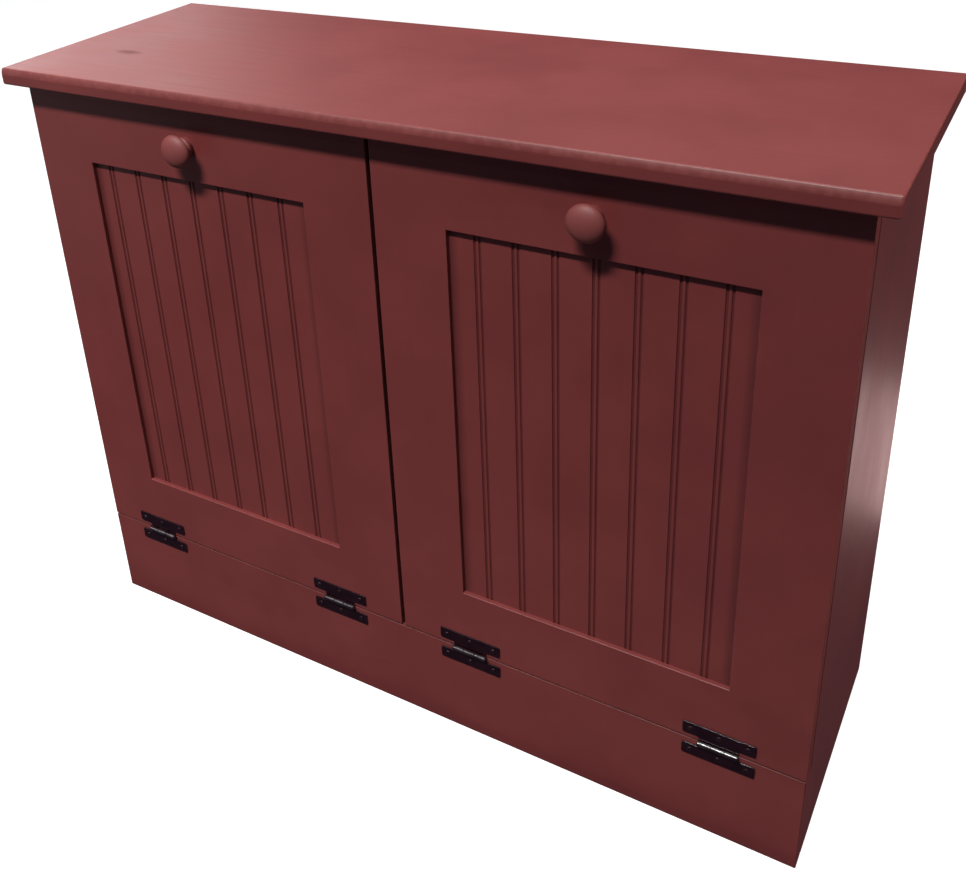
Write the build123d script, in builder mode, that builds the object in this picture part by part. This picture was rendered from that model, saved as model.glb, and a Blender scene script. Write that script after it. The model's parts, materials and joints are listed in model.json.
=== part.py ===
from build123d import *
import os
from math import cos, radians, sin

# A tilt-out trash cabinet: two doors hinged along their lower edges over a fixed apron.
# Each door carries a wooden cradle with a plastic bin, and tips forward until the cradle's
# arms meet stop blocks inside the case. X runs across the front, Y to the back, Z up.
# The origin is on the floor, in the middle of the whole cabinet, knobs included.

os.makedirs("parts", exist_ok=True)

# Case
case_width = 914.4
case_depth = 304.8  # door face to back
case_height = 730.6  # floor to the underside of the top
board = 19.05
top_overhang = 19.05
top_edge_radius = 7.5
top_lower_radius = 2.5
top_end_radius = 2.0
apron_height = 123.3
back_thickness = 6.35
rabbet_width = 9.5
back_floor_gap = 6.0
stretcher_depth = 63.5
stretcher_screw_edge = 19.0  # from a stretcher's inner edge
shelf_height = 110.0  # floor to the top of the shelf
shelf_thickness = 12.0
cleat_size = 19.05
cleat_setback = 20.0

# Doors
centre_gap = 4.8
seam_gap = 1.4
door_top_gap = 2.0
stile_width = 80.0
top_rail_width = 84.6
bottom_rail_width = 81.3
panel_recess = 5.0
panel_thickness = 6.35
groove_depth = 10.0
panel_float = 2.0
edge_ease = 1.2

# Beads of the panels, each one a rib between two grooves
bead_count = 7
bead_pitch = 39.6
bead_width = 5.5
bead_groove_radius = 1.25
left_bead_start = 24.0
right_bead_start = 30.5

# Knobs
knob_radius = 18.25
knob_projection = 25.0
knob_crown = 9.0
knob_drop = 2.7  # below the middle of the top rail
knob_foot_radius = 12.0
knob_shoulder_radius = 13.5
knob_shoulder_height = 6.5
knob_neck_radius = 10.8
knob_neck_height = 10.2
knob_screw_radius = 2.0
knob_screw_depth = 18.0
knob_screw_head_radius = 4.0
knob_screw_head_height = 2.2

# Hinges
hinge_inset = 86.0
hinge_length = 75.0
hinge_bar_height = 14.5
hinge_bar_rise = 7.0
hinge_corner_radius = 2.0
leaf_thickness = 1.3
knuckle_length = 41.0
knuckle_gap = 0.25
barrel_radius = 2.9
barrel_gap = 0.3
web_clearance = 0.6
hinge_pin_radius = 1.5
hinge_pin_clearance = 0.05
hinge_pin_head_radius = 2.2
hinge_pin_head_height = 1.0
hinge_screw_spacing = 29.0

# Screws
screw_fit = 0.02
hinge_screw_radius = 1.4
hinge_screw_length = 13.0
hinge_screw_head_radius = 3.0
hinge_screw_head_height = 1.1
case_screw_radius = 2.0
case_screw_bite = 9.0
case_screw_head_radius = 3.8
case_screw_head_height = 2.0
case_screw_inset = 45.0
small_screw_radius = 1.3
small_screw_length = 9.0
small_screw_head_radius = 2.8
small_screw_head_height = 1.6
brad_radius = 0.8
brad_length = 20.0
brad_head_radius = 2.4
brad_head_height = 0.6
brads_per_side = 5

# Magnetic catches
catch_width = 36.0
catch_depth = 15.0
catch_height = 13.0
catch_ear = 9.0
catch_ear_thickness = 2.0
catch_gap = 0.1
strike_length = 60.0
strike_height = 12.0
strike_thickness = 1.0
strike_screw_spacing = 48.0

# Tilt stops
tilt_angle = 35.0
stop_height = 209.0  # pin to the stop's underside
stop_setback = 105.0  # pin to the stop's front end
stop_length = 40.0
stop_block_height = 28.0
stop_screw_inset = 10.0
stop_clearance = 0.05

# Bin carriers
carrier_board = 12.0
carrier_side_gap = 5.0
carrier_lift = 8.0
slat_height = 50.0
bin_play = 3.0
bracket_leg = 20.0
bracket_height = 16.0
bracket_thickness = 1.5
bracket_lower_rise = 60.0
bracket_upper_rise = 185.0
carrier_screw_radius = 1.7
carrier_screw_bite = 16.0
carrier_screw_head_radius = 3.3
carrier_screw_head_height = 1.8
carrier_screw_inset = 40.0

# Bins
bin_height = 460.0
bin_top_width = 348.0
bin_top_depth = 212.0
bin_bottom_width = 318.0
bin_bottom_depth = 182.0
bin_wall = 2.2
bin_corner_radius = 32.0
bin_rim = 9.0
bin_rim_drop = 12.0
bin_front_gap = 4.0

# Places worked out from the sizes
face_y = (knob_projection - case_depth) / 2
back_y = face_y + case_depth
case_front_y = face_y + board
back_front_y = back_y - back_thickness
inner_x = case_width / 2 - board
divider_x = board / 2
compartment_x = (inner_x + divider_x) / 2
under_top_z = case_height
stretcher_z = case_height - board
door_bottom_z = apron_height + seam_gap
door_top_z = case_height - door_top_gap
opening_bottom_z = door_bottom_z + bottom_rail_width
opening_top_z = door_top_z - top_rail_width
panel_y = face_y + panel_recess
knob_z = door_top_z - top_rail_width / 2 - knob_drop
pin_y = face_y - barrel_gap - barrel_radius
pin_z = apron_height + seam_gap / 2
door_outer_x = case_width / 2
door_inner_x = centre_gap / 2
door_centre_x = (door_outer_x + door_inner_x) / 2
hinge_places = (door_outer_x - hinge_inset, door_inner_x + hinge_inset)
stop_z = pin_z + stop_height + stop_clearance
stop_front_y = pin_y + stop_setback
arm_outer_x = (inner_x - divider_x) / 2 - carrier_side_gap
arm_inner_x = arm_outer_x - carrier_board
carrier_bottom_z = pin_z + carrier_lift
carrier_floor_z = carrier_bottom_z + carrier_board
slat_top_z = carrier_floor_z + slat_height
bin_y = case_front_y + bin_front_gap + bin_rim + bin_top_depth / 2
bin_depth_at_slat = bin_bottom_depth + (bin_top_depth - bin_bottom_depth) * slat_height / bin_height
slat_front_y = bin_y + bin_depth_at_slat / 2 + bin_play
carrier_back_y = slat_front_y + carrier_board
catch_front_y = case_front_y + strike_thickness + catch_gap
strike_z = stretcher_z - catch_height / 2
sides = {"left": -1, "right": 1}


def keep(piece, name):
    """Labels a finished piece and writes it."""
    piece.part.label = name
    export_step(piece.part, f"parts/{name}.step")


def block(x, y, z, mode=Mode.ADD):
    """Adds or cuts the block between the given pairs of x, y and z."""
    (x0, x1), (y0, y1), (z0, z1) = sorted(x), sorted(y), sorted(z)
    with Locations(((x0 + x1) / 2, (y0 + y1) / 2, (z0 + z1) / 2)):
        Box(x1 - x0, y1 - y0, z1 - z0, mode=mode)


def facing_front(y):
    """A plane across the front, seen from outside: its x is X, its y is Z, its normal -Y."""
    return Plane(origin=(0, y, 0), x_dir=(1, 0, 0), z_dir=(0, -1, 0))


def facing_back(y):
    """A plane across the back: its x is -X, its y is Z, its normal +Y."""
    return Plane(origin=(0, y, 0), x_dir=(-1, 0, 0), z_dir=(0, 1, 0))


def facing_down(z):
    """A plane seen from below: its x is X, its y is -Y, its normal -Z."""
    return Plane(origin=(0, 0, z), x_dir=(1, 0, 0), z_dir=(0, 0, -1))


def facing_side(x, direction):
    """A plane along the depth: its x is Y times the direction, its y is Z, its normal +X or -X."""
    return Plane(origin=(x, 0, 0), x_dir=(0, direction, 0), z_dir=(direction, 0, 0))


def drill(plane, points, radius, depth):
    """Cuts a round hole into the plane at each of its points."""
    with BuildSketch(plane) as holes:
        with Locations(*points):
            Circle(radius)
    extrude(holes.sketch, amount=-depth, mode=Mode.SUBTRACT)


def screw_group(name, places, shank_radius, shank_length, head_radius, head_height):
    """Writes one node of like screws, each place a plane under the heads and its points."""
    with BuildPart() as screws:
        for plane, points in places:
            with BuildSketch(plane):
                with Locations(*points):
                    Circle(head_radius)
            extrude(amount=head_height)
            with BuildSketch(plane):
                with Locations(*points):
                    Circle(shank_radius)
            extrude(amount=-shank_length)
    keep(screws, name)


def hinge_screw_points(hinge_x, direction):
    """Screw places (x, z) of a hinge leaf above the pin (direction 1) or below it (-1)."""
    z = pin_z + direction * (hinge_bar_rise + hinge_bar_height / 2)
    return [(hinge_x + shift, z) for shift in (-hinge_screw_spacing, 0, hinge_screw_spacing)]


def stop_screw_points():
    """Screw places (y, z) of a stop block."""
    z = stop_z + stop_block_height / 2
    return [(stop_front_y + y, z) for y in (stop_screw_inset, stop_length - stop_screw_inset)]


def cleat_screw_points():
    """Screw places (y, z) of a shelf cleat."""
    z = shelf_height - shelf_thickness - cleat_size / 2
    return [(y, z) for y in (case_front_y + case_screw_inset, back_front_y - case_screw_inset)]


def wall_points(direction):
    """Screw places of the stops and cleats on a wall, in the wall's own plane."""
    return [(direction * y, z) for y, z in stop_screw_points() + cleat_screw_points()]


def stretcher_screw_points(y):
    """Screw places (x, y) of a stretcher, two in each compartment."""
    xs = [side * x for side in (-1, 1) for x in (divider_x + case_screw_inset, inner_x - case_screw_inset)]
    return [(x, y) for x in xs]


def catch_screw_points():
    """Screw places (x, y) in the ears of the two catches."""
    y = catch_front_y + catch_depth / 2
    reach = (catch_width + catch_ear) / 2
    return [(side * door_centre_x + ear * reach, y) for side in (-1, 1) for ear in (-1, 1)]


def brad_points():
    """Brad places (x, z) up both side edges of the back panel."""
    x = inner_x + rabbet_width / 2
    low, high = back_floor_gap + case_screw_inset, under_top_z - case_screw_inset
    step = (high - low) / (brads_per_side - 1)
    return [(side * x, low + i * step) for side in (-1, 1) for i in range(brads_per_side)]


front_stretcher_y = case_front_y + stretcher_depth - stretcher_screw_edge
rear_stretcher_y = back_front_y - stretcher_depth + stretcher_screw_edge
brad_seat_y = back_y - brad_head_height

# Top board, rounded over along its front and eased at both ends
with BuildPart() as top_board:
    block(
        (-case_width / 2 - top_overhang, case_width / 2 + top_overhang),
        (face_y - top_overhang, back_y),
        (under_top_z, under_top_z + board),
    )
    fillet(top_board.faces().sort_by(Axis.Z)[-1].edges().sort_by(Axis.Y)[0], top_edge_radius)
    fillet(top_board.faces().sort_by(Axis.Z)[0].edges().sort_by(Axis.Y)[0], top_lower_radius)
    for end in (0, -1):
        end_edges = top_board.faces().sort_by(Axis.X)[end].edges()
        fillet(end_edges.sort_by(Axis.Y)[:-1], top_end_radius)
    for stretcher_y in (front_stretcher_y, rear_stretcher_y):
        drill(
            facing_down(under_top_z),
            [(x, -y) for x, y in stretcher_screw_points(stretcher_y)],
            case_screw_radius + screw_fit,
            case_screw_bite,
        )
keep(top_board, "top_board")

# Side panels, rabbeted for the back
for side_name, side in sides.items():
    with BuildPart() as side_panel:
        block((side * inner_x, side * case_width / 2), (case_front_y, back_y), (0, case_height))
        block(
            (side * inner_x, side * (inner_x + rabbet_width)),
            (back_front_y, back_y),
            (0, case_height),
            mode=Mode.SUBTRACT,
        )
        drill(
            facing_side(side * inner_x, -side),
            wall_points(-side),
            case_screw_radius + screw_fit,
            case_screw_bite,
        )
        drill(
            facing_back(back_front_y),
            [(-x, z) for x, z in brad_points() if x * side > 0],
            brad_radius + screw_fit,
            brad_length - (brad_seat_y - back_front_y),
        )
        outer_face = side_panel.faces().filter_by(Axis.X).sort_by(Axis.X)[0 if side < 0 else -1]
        fillet(outer_face.edges().filter_by(Axis.Z), edge_ease)
    keep(side_panel, f"{side_name}_side")

# Centre divider, notched for both stretchers
with BuildPart() as centre_divider:
    block((-divider_x, divider_x), (case_front_y, back_front_y), (0, case_height))
    for notch in (
        (case_front_y, case_front_y + stretcher_depth),
        (back_front_y - stretcher_depth, back_front_y),
    ):
        block((-divider_x, divider_x), notch, (stretcher_z, case_height), mode=Mode.SUBTRACT)
    for side in sides.values():
        drill(
            facing_side(side * divider_x, side),
            wall_points(side),
            case_screw_radius + screw_fit,
            case_screw_bite,
        )
keep(centre_divider, "centre_divider")

# Stretchers, flat under the top
for stretcher_name, stretcher_span, screw_y in (
    ("front_stretcher", (case_front_y, case_front_y + stretcher_depth), front_stretcher_y),
    ("rear_stretcher", (back_front_y - stretcher_depth, back_front_y), rear_stretcher_y),
):
    with BuildPart() as stretcher:
        block((-inner_x, inner_x), stretcher_span, (stretcher_z, case_height))
        drill(
            Plane.XY.offset(case_height),
            stretcher_screw_points(screw_y),
            case_screw_radius + screw_fit,
            board,
        )
        if stretcher_name == "front_stretcher":
            drill(
                facing_down(stretcher_z),
                [(x, -y) for x, y in catch_screw_points()],
                small_screw_radius + screw_fit,
                small_screw_length,
            )
    keep(stretcher, stretcher_name)

# Back panel, in the rabbets of the sides
with BuildPart() as back_panel:
    block(
        (-inner_x - rabbet_width, inner_x + rabbet_width),
        (back_front_y, back_y),
        (back_floor_gap, case_height),
    )
    brad_holes = [(-x, z) for x, z in brad_points()]
    drill(facing_back(back_y), brad_holes, brad_head_radius + screw_fit, brad_head_height)
    drill(facing_back(back_y), brad_holes, brad_radius + screw_fit, back_thickness)
keep(back_panel, "back_panel")
screw_group(
    "back_panel_brads",
    [(facing_back(brad_seat_y), brad_holes)],
    brad_radius,
    brad_length,
    brad_head_radius,
    brad_head_height,
)

# Shelves, and the cleats under their ends
for side_name, side in sides.items():
    with BuildPart() as shelf:
        block(
            (side * divider_x, side * inner_x),
            (case_front_y, back_front_y),
            (shelf_height - shelf_thickness, shelf_height),
        )
    keep(shelf, f"{side_name}_shelf")

with BuildPart() as shelf_cleats:
    cleat_top = shelf_height - shelf_thickness
    for side in sides.values():
        for wall, into in ((inner_x, -1), (divider_x, 1)):
            block(
                (side * wall, side * (wall + into * cleat_size)),
                (case_front_y + cleat_setback, back_front_y - cleat_setback),
                (cleat_top - cleat_size, cleat_top),
            )
            drill(
                facing_side(side * (wall + into * cleat_size), side * into),
                [(side * into * y, z) for y, z in cleat_screw_points()],
                case_screw_radius + screw_fit,
                cleat_size,
            )
keep(shelf_cleats, "shelf_cleats")

# Base apron, with the pilot holes of the lower hinge leaves
with BuildPart() as base_apron:
    block((-case_width / 2, case_width / 2), (face_y, case_front_y), (0, apron_height))
    fillet(base_apron.faces().sort_by(Axis.Y)[0].edges(), edge_ease)
    for side in sides.values():
        for place in hinge_places:
            drill(
                facing_front(face_y),
                hinge_screw_points(side * place, -1),
                hinge_screw_radius + screw_fit,
                hinge_screw_length - leaf_thickness,
            )
keep(base_apron, "base_apron")

# Stop blocks for the carrier arms, on the side panels and on the divider
with BuildPart() as tilt_stop_blocks:
    for side in sides.values():
        for wall, into in ((inner_x, -1), (divider_x, 1)):
            block(
                (side * wall, side * (wall + into * cleat_size)),
                (stop_front_y, stop_front_y + stop_length),
                (stop_z, stop_z + stop_block_height),
            )
            drill(
                facing_side(side * (wall + into * cleat_size), side * into),
                [(side * into * y, z) for y, z in stop_screw_points()],
                case_screw_radius + screw_fit,
                cleat_size,
            )
keep(tilt_stop_blocks, "tilt_stop_blocks")

# One size of screw holds the cleats, the stop blocks and the top
case_screw_places = []
for side in sides.values():
    for wall, into in ((inner_x, -1), (divider_x, 1)):
        wall_plane = facing_side(side * (wall + into * cleat_size), side * into)
        case_screw_places.append((wall_plane, wall_points(side * into)))
for stretcher_y in (front_stretcher_y, rear_stretcher_y):
    underside = facing_down(stretcher_z)
    points = [(x, -y) for x, y in stretcher_screw_points(stretcher_y)]
    case_screw_places.append((underside, points))
screw_group(
    "case_screws",
    case_screw_places,
    case_screw_radius,
    board + case_screw_bite,
    case_screw_head_radius,
    case_screw_head_height,
)

# Magnetic catches under the front stretcher, each with an ear at both ends
with BuildPart() as magnetic_catches:
    for side in sides.values():
        middle = side * door_centre_x
        catch_span = (catch_front_y, catch_front_y + catch_depth)
        block(
            (middle - catch_width / 2, middle + catch_width / 2),
            catch_span,
            (stretcher_z - catch_height, stretcher_z),
        )
        block(
            (middle - catch_width / 2 - catch_ear, middle + catch_width / 2 + catch_ear),
            catch_span,
            (stretcher_z - catch_ear_thickness, stretcher_z),
        )
    drill(
        Plane.XY.offset(stretcher_z),
        catch_screw_points(),
        small_screw_radius + screw_fit,
        catch_ear_thickness,
    )
keep(magnetic_catches, "magnetic_catches")
screw_group(
    "catch_screws",
    [(facing_down(stretcher_z - catch_ear_thickness), [(x, -y) for x, y in catch_screw_points()])],
    small_screw_radius,
    small_screw_length,
    small_screw_head_radius,
    small_screw_head_height,
)


def hinge_leaf(hinge_x, direction):
    """One leaf of an H hinge: the door's above the pin (1), the apron's below it (-1)."""
    third = knuckle_length / 3
    if direction > 0:
        knuckles = [(-third / 2 + knuckle_gap / 2, third / 2 - knuckle_gap / 2)]
    else:
        knuckles = [
            (-knuckle_length / 2, -third / 2 - knuckle_gap / 2),
            (third / 2 + knuckle_gap / 2, knuckle_length / 2),
        ]
    web_edge = barrel_radius + web_clearance
    bar_middle = pin_z + direction * (hinge_bar_rise + hinge_bar_height / 2)
    with BuildPart() as leaf:
        with BuildSketch(facing_front(face_y)):
            with Locations((hinge_x, bar_middle)):
                RectangleRounded(hinge_length, hinge_bar_height, hinge_corner_radius)
            with Locations((hinge_x, pin_z + direction * (web_edge + hinge_bar_rise) / 2)):
                Rectangle(knuckle_length, hinge_bar_rise - web_edge + hinge_corner_radius)
        extrude(amount=leaf_thickness)
        drill(
            facing_front(face_y - leaf_thickness),
            hinge_screw_points(hinge_x, direction),
            hinge_screw_radius + screw_fit,
            leaf_thickness,
        )
        for start, end in knuckles:
            block(
                (hinge_x + start, hinge_x + end),
                (face_y - leaf_thickness, face_y - barrel_gap),
                (pin_z, pin_z + direction * (web_edge + hinge_corner_radius)),
            )
            with BuildSketch(Plane.YZ.offset(hinge_x + start)):
                with Locations((pin_y, pin_z)):
                    Circle(barrel_radius)
            extrude(amount=end - start)
        with BuildSketch(Plane.YZ.offset(hinge_x - knuckle_length / 2)):
            with Locations((pin_y, pin_z)):
                Circle(hinge_pin_radius + hinge_pin_clearance)
        extrude(amount=knuckle_length, mode=Mode.SUBTRACT)
    return leaf


# Hinges, numbered from the left
hinge_centres = sorted(side * place for side in sides.values() for place in hinge_places)
for number, hinge_x in enumerate(hinge_centres, start=1):
    keep(hinge_leaf(hinge_x, 1), f"hinge_{number}_door_leaf")
    keep(hinge_leaf(hinge_x, -1), f"hinge_{number}_base_leaf")

with BuildPart() as hinge_pins:
    for hinge_x in hinge_centres:
        for radius, reach in (
            (hinge_pin_radius, 0),
            (hinge_pin_head_radius, hinge_pin_head_height),
        ):
            ends = (-knuckle_length / 2 - reach, knuckle_length / 2 + reach)
            if reach == 0:
                spans = [ends]
            else:
                spans = [(ends[0], ends[0] + reach), (ends[1] - reach, ends[1])]
            for start, end in spans:
                with BuildSketch(Plane.YZ.offset(hinge_x + start)):
                    with Locations((pin_y, pin_z)):
                        Circle(radius)
                extrude(amount=end - start)
keep(hinge_pins, "hinge_pins")

screw_group(
    "base_hinge_screws",
    [(facing_front(face_y - leaf_thickness), hinge_screw_points(x, -1)) for x in hinge_centres],
    hinge_screw_radius,
    hinge_screw_length,
    hinge_screw_head_radius,
    hinge_screw_head_height,
)


def door_x(side, from_outer):
    """The x of a place on a door, measured from the door's outer edge towards the middle."""
    return side * (door_outer_x - from_outer)


def bracket_places(side):
    """Inner corners (x, direction into the carrier, z) of a carrier's four brackets."""
    middle = side * compartment_x
    rises = (bracket_lower_rise, bracket_upper_rise)
    return [(middle + arm * arm_inner_x, -arm, pin_z + rise) for arm in (-1, 1) for rise in rises]


def bracket_screw_points(side):
    """Screw places (x, z) of a carrier's brackets on the back of the door."""
    reach = bracket_thickness + (bracket_leg - bracket_thickness) / 2
    return [(x + into * reach, z) for x, into, z in bracket_places(side)]


def bracket_arm_points(side, arm):
    """Screw places (y, z) of the brackets on one arm (-1 or 1)."""
    reach = bracket_thickness + (bracket_leg - bracket_thickness) / 2
    return [(case_front_y + reach, z) for x, into, z in bracket_places(side) if into == -arm]


def carrier_screw_points():
    """Screw places (y, z) through an arm into the carrier's floor and its back slat."""
    floor_z = carrier_bottom_z + carrier_board / 2
    slat_y = slat_front_y + carrier_board / 2
    slat_z = (carrier_floor_z + slat_top_z) / 2
    return [
        (case_front_y + carrier_screw_inset, floor_z),
        (slat_front_y - carrier_screw_inset, floor_z),
        (slat_y, slat_z),
    ]


def strike_screw_points(side):
    """Screw places (x, z) of a strike plate."""
    half = strike_screw_spacing / 2
    return [(side * door_centre_x + shift, strike_z) for shift in (-half, half)]


def drill_door_board(side):
    """Cuts the pilot holes of the hinge and bracket screws where they cross a door board."""
    for place in hinge_places:
        drill(
            facing_front(face_y),
            hinge_screw_points(side * place, 1),
            hinge_screw_radius + screw_fit,
            hinge_screw_length - leaf_thickness,
        )
    drill(
        facing_back(case_front_y),
        [(-x, z) for x, z in bracket_screw_points(side)],
        small_screw_radius + screw_fit,
        small_screw_length - bracket_thickness,
    )


def stop_line_z(y):
    """Height of an arm's sloping top edge at y: level and under the stop at full tilt."""
    tilt = radians(tilt_angle)
    return pin_z + (stop_height - (y - pin_y) * sin(tilt)) / cos(tilt)


def build_door(side_name, side, bead_start):
    """The framed door with its panel, knob, strike plate, carrier and bin."""
    outer, inner = door_x(side, 0), side * door_inner_x
    opening_outer, opening_inner = door_x(side, stile_width), side * (door_inner_x + stile_width)
    thickness = (face_y, case_front_y)
    groove = (panel_y, panel_y + panel_thickness)
    back = facing_back(case_front_y)
    door_middle = side * door_centre_x
    carrier_middle = side * compartment_x

    # Stiles, grooved along the edge that faces the panel
    for stile_name, edge, opening in (
        ("outer", outer, opening_outer),
        ("inner", inner, opening_inner),
    ):
        into = -1 if opening > edge else 1
        with BuildPart() as stile:
            block((edge, opening), thickness, (door_bottom_z, door_top_z))
            front_edges = stile.faces().sort_by(Axis.Y)[0].edges().filter_by(Axis.Z)
            fillet(front_edges.sort_by(Axis.X)[0 if edge < opening else -1], edge_ease)
            block(
                (opening, opening + into * groove_depth),
                groove,
                (door_bottom_z, door_top_z),
                mode=Mode.SUBTRACT,
            )
            drill_door_board(side)
        keep(stile, f"{side_name}_door_{stile_name}_stile")

    # Rails, tongued into the stiles and grooved for the panel
    for rail_name, low, high, groove_span in (
        (
            "top",
            opening_top_z,
            door_top_z,
            (opening_top_z, opening_top_z + groove_depth),
        ),
        (
            "bottom",
            door_bottom_z,
            opening_bottom_z,
            (opening_bottom_z - groove_depth, opening_bottom_z),
        ),
    ):
        shoulder = (opening_outer, opening_inner)
        tongue = (min(shoulder) - groove_depth, max(shoulder) + groove_depth)
        with BuildPart() as rail:
            block(shoulder, thickness, (low, high))
            front_edges = rail.faces().sort_by(Axis.Y)[0].edges().filter_by(Axis.X)
            fillet(front_edges.sort_by(Axis.Z)[-1 if rail_name == "top" else 0], edge_ease)
            block(tongue, groove, (low, high))
            block(tongue, groove, groove_span, mode=Mode.SUBTRACT)
            drill_door_board(side)
            if rail_name == "top":
                drill(back, [(-door_middle, knob_z)], knob_screw_radius + screw_fit, board)
                drill(
                    back,
                    [(-x, z) for x, z in strike_screw_points(side)],
                    small_screw_radius + screw_fit,
                    small_screw_length - strike_thickness,
                )
        keep(rail, f"{side_name}_door_{rail_name}_rail")

    # Beadboard panel, floating in the grooves
    reach = groove_depth - panel_float
    panel_left, panel_right = sorted((opening_outer, opening_inner))
    with BuildPart() as bead_panel:
        block(
            (panel_left - reach, panel_right + reach),
            groove,
            (opening_bottom_z - reach, opening_top_z + reach),
        )
        with BuildSketch(Plane.XY.offset(opening_bottom_z - reach)):
            for i in range(bead_count):
                middle = panel_left + bead_start + i * bead_pitch
                with Locations((middle - bead_width / 2, panel_y), (middle + bead_width / 2, panel_y)):
                    Circle(bead_groove_radius)
        extrude(amount=opening_top_z - opening_bottom_z + 2 * reach, mode=Mode.SUBTRACT)
    keep(bead_panel, f"{side_name}_door_bead_panel")

    # Knob, turned about its screw: a foot with a rounded shoulder, a neck and a domed head
    foot = (knob_foot_radius, face_y)
    shoulder = (knob_shoulder_radius, face_y - knob_shoulder_height)
    neck = (knob_neck_radius, face_y - knob_neck_height)
    rim = (knob_radius, face_y - knob_projection + knob_crown)
    rim_y = rim[1]
    with BuildPart() as knob:
        with BuildSketch(Plane(origin=(door_middle, 0, knob_z), x_dir=(1, 0, 0), z_dir=(0, 0, 1))):
            with BuildLine():
                Line((0, face_y), foot)
                for start, end in ((foot, shoulder), (shoulder, neck), (neck, rim)):
                    Spline(start, end, tangents=((0, -1), (0, -1)))
                EllipticalCenterArc((0, rim_y), knob_radius, knob_crown, start_angle=270, arc_size=90)
                Line((0, rim_y - knob_crown), (0, face_y))
            make_face()
        revolve(axis=Axis((door_middle, 0, knob_z), (0, 1, 0)))
        drill(facing_back(face_y), [(-door_middle, knob_z)], knob_screw_radius + screw_fit, knob_screw_depth)
    keep(knob, f"{side_name}_knob")
    screw_group(
        f"{side_name}_knob_screw",
        [(back, [(-door_middle, knob_z)])],
        knob_screw_radius,
        board + knob_screw_depth,
        knob_screw_head_radius,
        knob_screw_head_height,
    )

    # Strike plate for the catch
    with BuildPart() as strike_plate:
        block(
            (door_middle - strike_length / 2, door_middle + strike_length / 2),
            (case_front_y, case_front_y + strike_thickness),
            (strike_z - strike_height / 2, strike_z + strike_height / 2),
        )
        drill(
            facing_back(case_front_y + strike_thickness),
            [(-x, z) for x, z in strike_screw_points(side)],
            small_screw_radius + screw_fit,
            strike_thickness,
        )
    keep(strike_plate, f"{side_name}_strike_plate")

    # Carrier arms, whose sloping top edge comes up level under the stops
    for arm_name, arm in (("outer", side), ("inner", -side)):
        arm_x = carrier_middle + arm * arm_inner_x
        with BuildPart() as carrier_arm:
            with BuildSketch(Plane.YZ.offset(min(arm_x, arm_x + arm * carrier_board))):
                with BuildLine():
                    Polyline(
                        (case_front_y, carrier_bottom_z),
                        (carrier_back_y, carrier_bottom_z),
                        (carrier_back_y, stop_line_z(carrier_back_y)),
                        (case_front_y, stop_line_z(case_front_y)),
                        close=True,
                    )
                make_face()
            extrude(amount=carrier_board)
            drill(
                facing_side(arm_x, -arm),
                [(-arm * y, z) for y, z in bracket_arm_points(side, arm)],
                small_screw_radius + screw_fit,
                small_screw_length - bracket_thickness,
            )
            drill(
                facing_side(arm_x + arm * carrier_board, arm),
                [(arm * y, z) for y, z in carrier_screw_points()],
                carrier_screw_radius + screw_fit,
                carrier_board,
            )
        keep(carrier_arm, f"{side_name}_carrier_{arm_name}_arm")

    # Carrier floor under the bin, and the slat behind it
    for piece_name, piece_y, piece_z in (
        ("floor", (case_front_y, carrier_back_y), (carrier_bottom_z, carrier_floor_z)),
        ("back_slat", (slat_front_y, carrier_back_y), (carrier_floor_z, slat_top_z)),
    ):
        with BuildPart() as carrier_piece:
            block((carrier_middle - arm_inner_x, carrier_middle + arm_inner_x), piece_y, piece_z)
            for arm in (-1, 1):
                drill(
                    facing_side(carrier_middle + arm * arm_inner_x, arm),
                    [(arm * y, z) for y, z in carrier_screw_points()],
                    carrier_screw_radius + screw_fit,
                    carrier_screw_bite,
                )
        keep(carrier_piece, f"{side_name}_carrier_{piece_name}")
    screw_group(
        f"{side_name}_carrier_screws",
        [
            (
                facing_side(carrier_middle + arm * arm_outer_x, arm),
                [(arm * y, z) for y, z in carrier_screw_points()],
            )
            for arm in (-1, 1)
        ],
        carrier_screw_radius,
        carrier_board + carrier_screw_bite,
        carrier_screw_head_radius,
        carrier_screw_head_height,
    )

    # Angle brackets that tie the arms to the stiles
    with BuildPart() as carrier_brackets:
        for x, into, z in bracket_places(side):
            height = (z - bracket_height / 2, z + bracket_height / 2)
            flange = (case_front_y, case_front_y + bracket_thickness)
            block((x, x + into * bracket_leg), flange, height)
            block((x, x + into * bracket_thickness), (case_front_y, case_front_y + bracket_leg), height)
        drill(
            facing_back(case_front_y + bracket_thickness),
            [(-x, z) for x, z in bracket_screw_points(side)],
            small_screw_radius + screw_fit,
            bracket_thickness,
        )
        for arm in (-1, 1):
            drill(
                facing_side(carrier_middle + arm * (arm_inner_x - bracket_thickness), -arm),
                [(-arm * y, z) for y, z in bracket_arm_points(side, arm)],
                small_screw_radius + screw_fit,
                bracket_thickness,
            )
    keep(carrier_brackets, f"{side_name}_carrier_brackets")
    small_screw_places = [
        (facing_back(case_front_y + bracket_thickness), [(-x, z) for x, z in bracket_screw_points(side)]),
        (facing_back(case_front_y + strike_thickness), [(-x, z) for x, z in strike_screw_points(side)]),
    ]
    for arm in (-1, 1):
        arm_face = facing_side(carrier_middle + arm * (arm_inner_x - bracket_thickness), -arm)
        small_screw_places.append((arm_face, [(-arm * y, z) for y, z in bracket_arm_points(side, arm)]))
    screw_group(
        f"{side_name}_bracket_screws",
        small_screw_places,
        small_screw_radius,
        small_screw_length,
        small_screw_head_radius,
        small_screw_head_height,
    )

    screw_group(
        f"{side_name}_door_hinge_screws",
        [
            (facing_front(face_y - leaf_thickness), hinge_screw_points(side * place, 1))
            for place in hinge_places
        ],
        hinge_screw_radius,
        hinge_screw_length,
        hinge_screw_head_radius,
        hinge_screw_head_height,
    )

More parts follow.
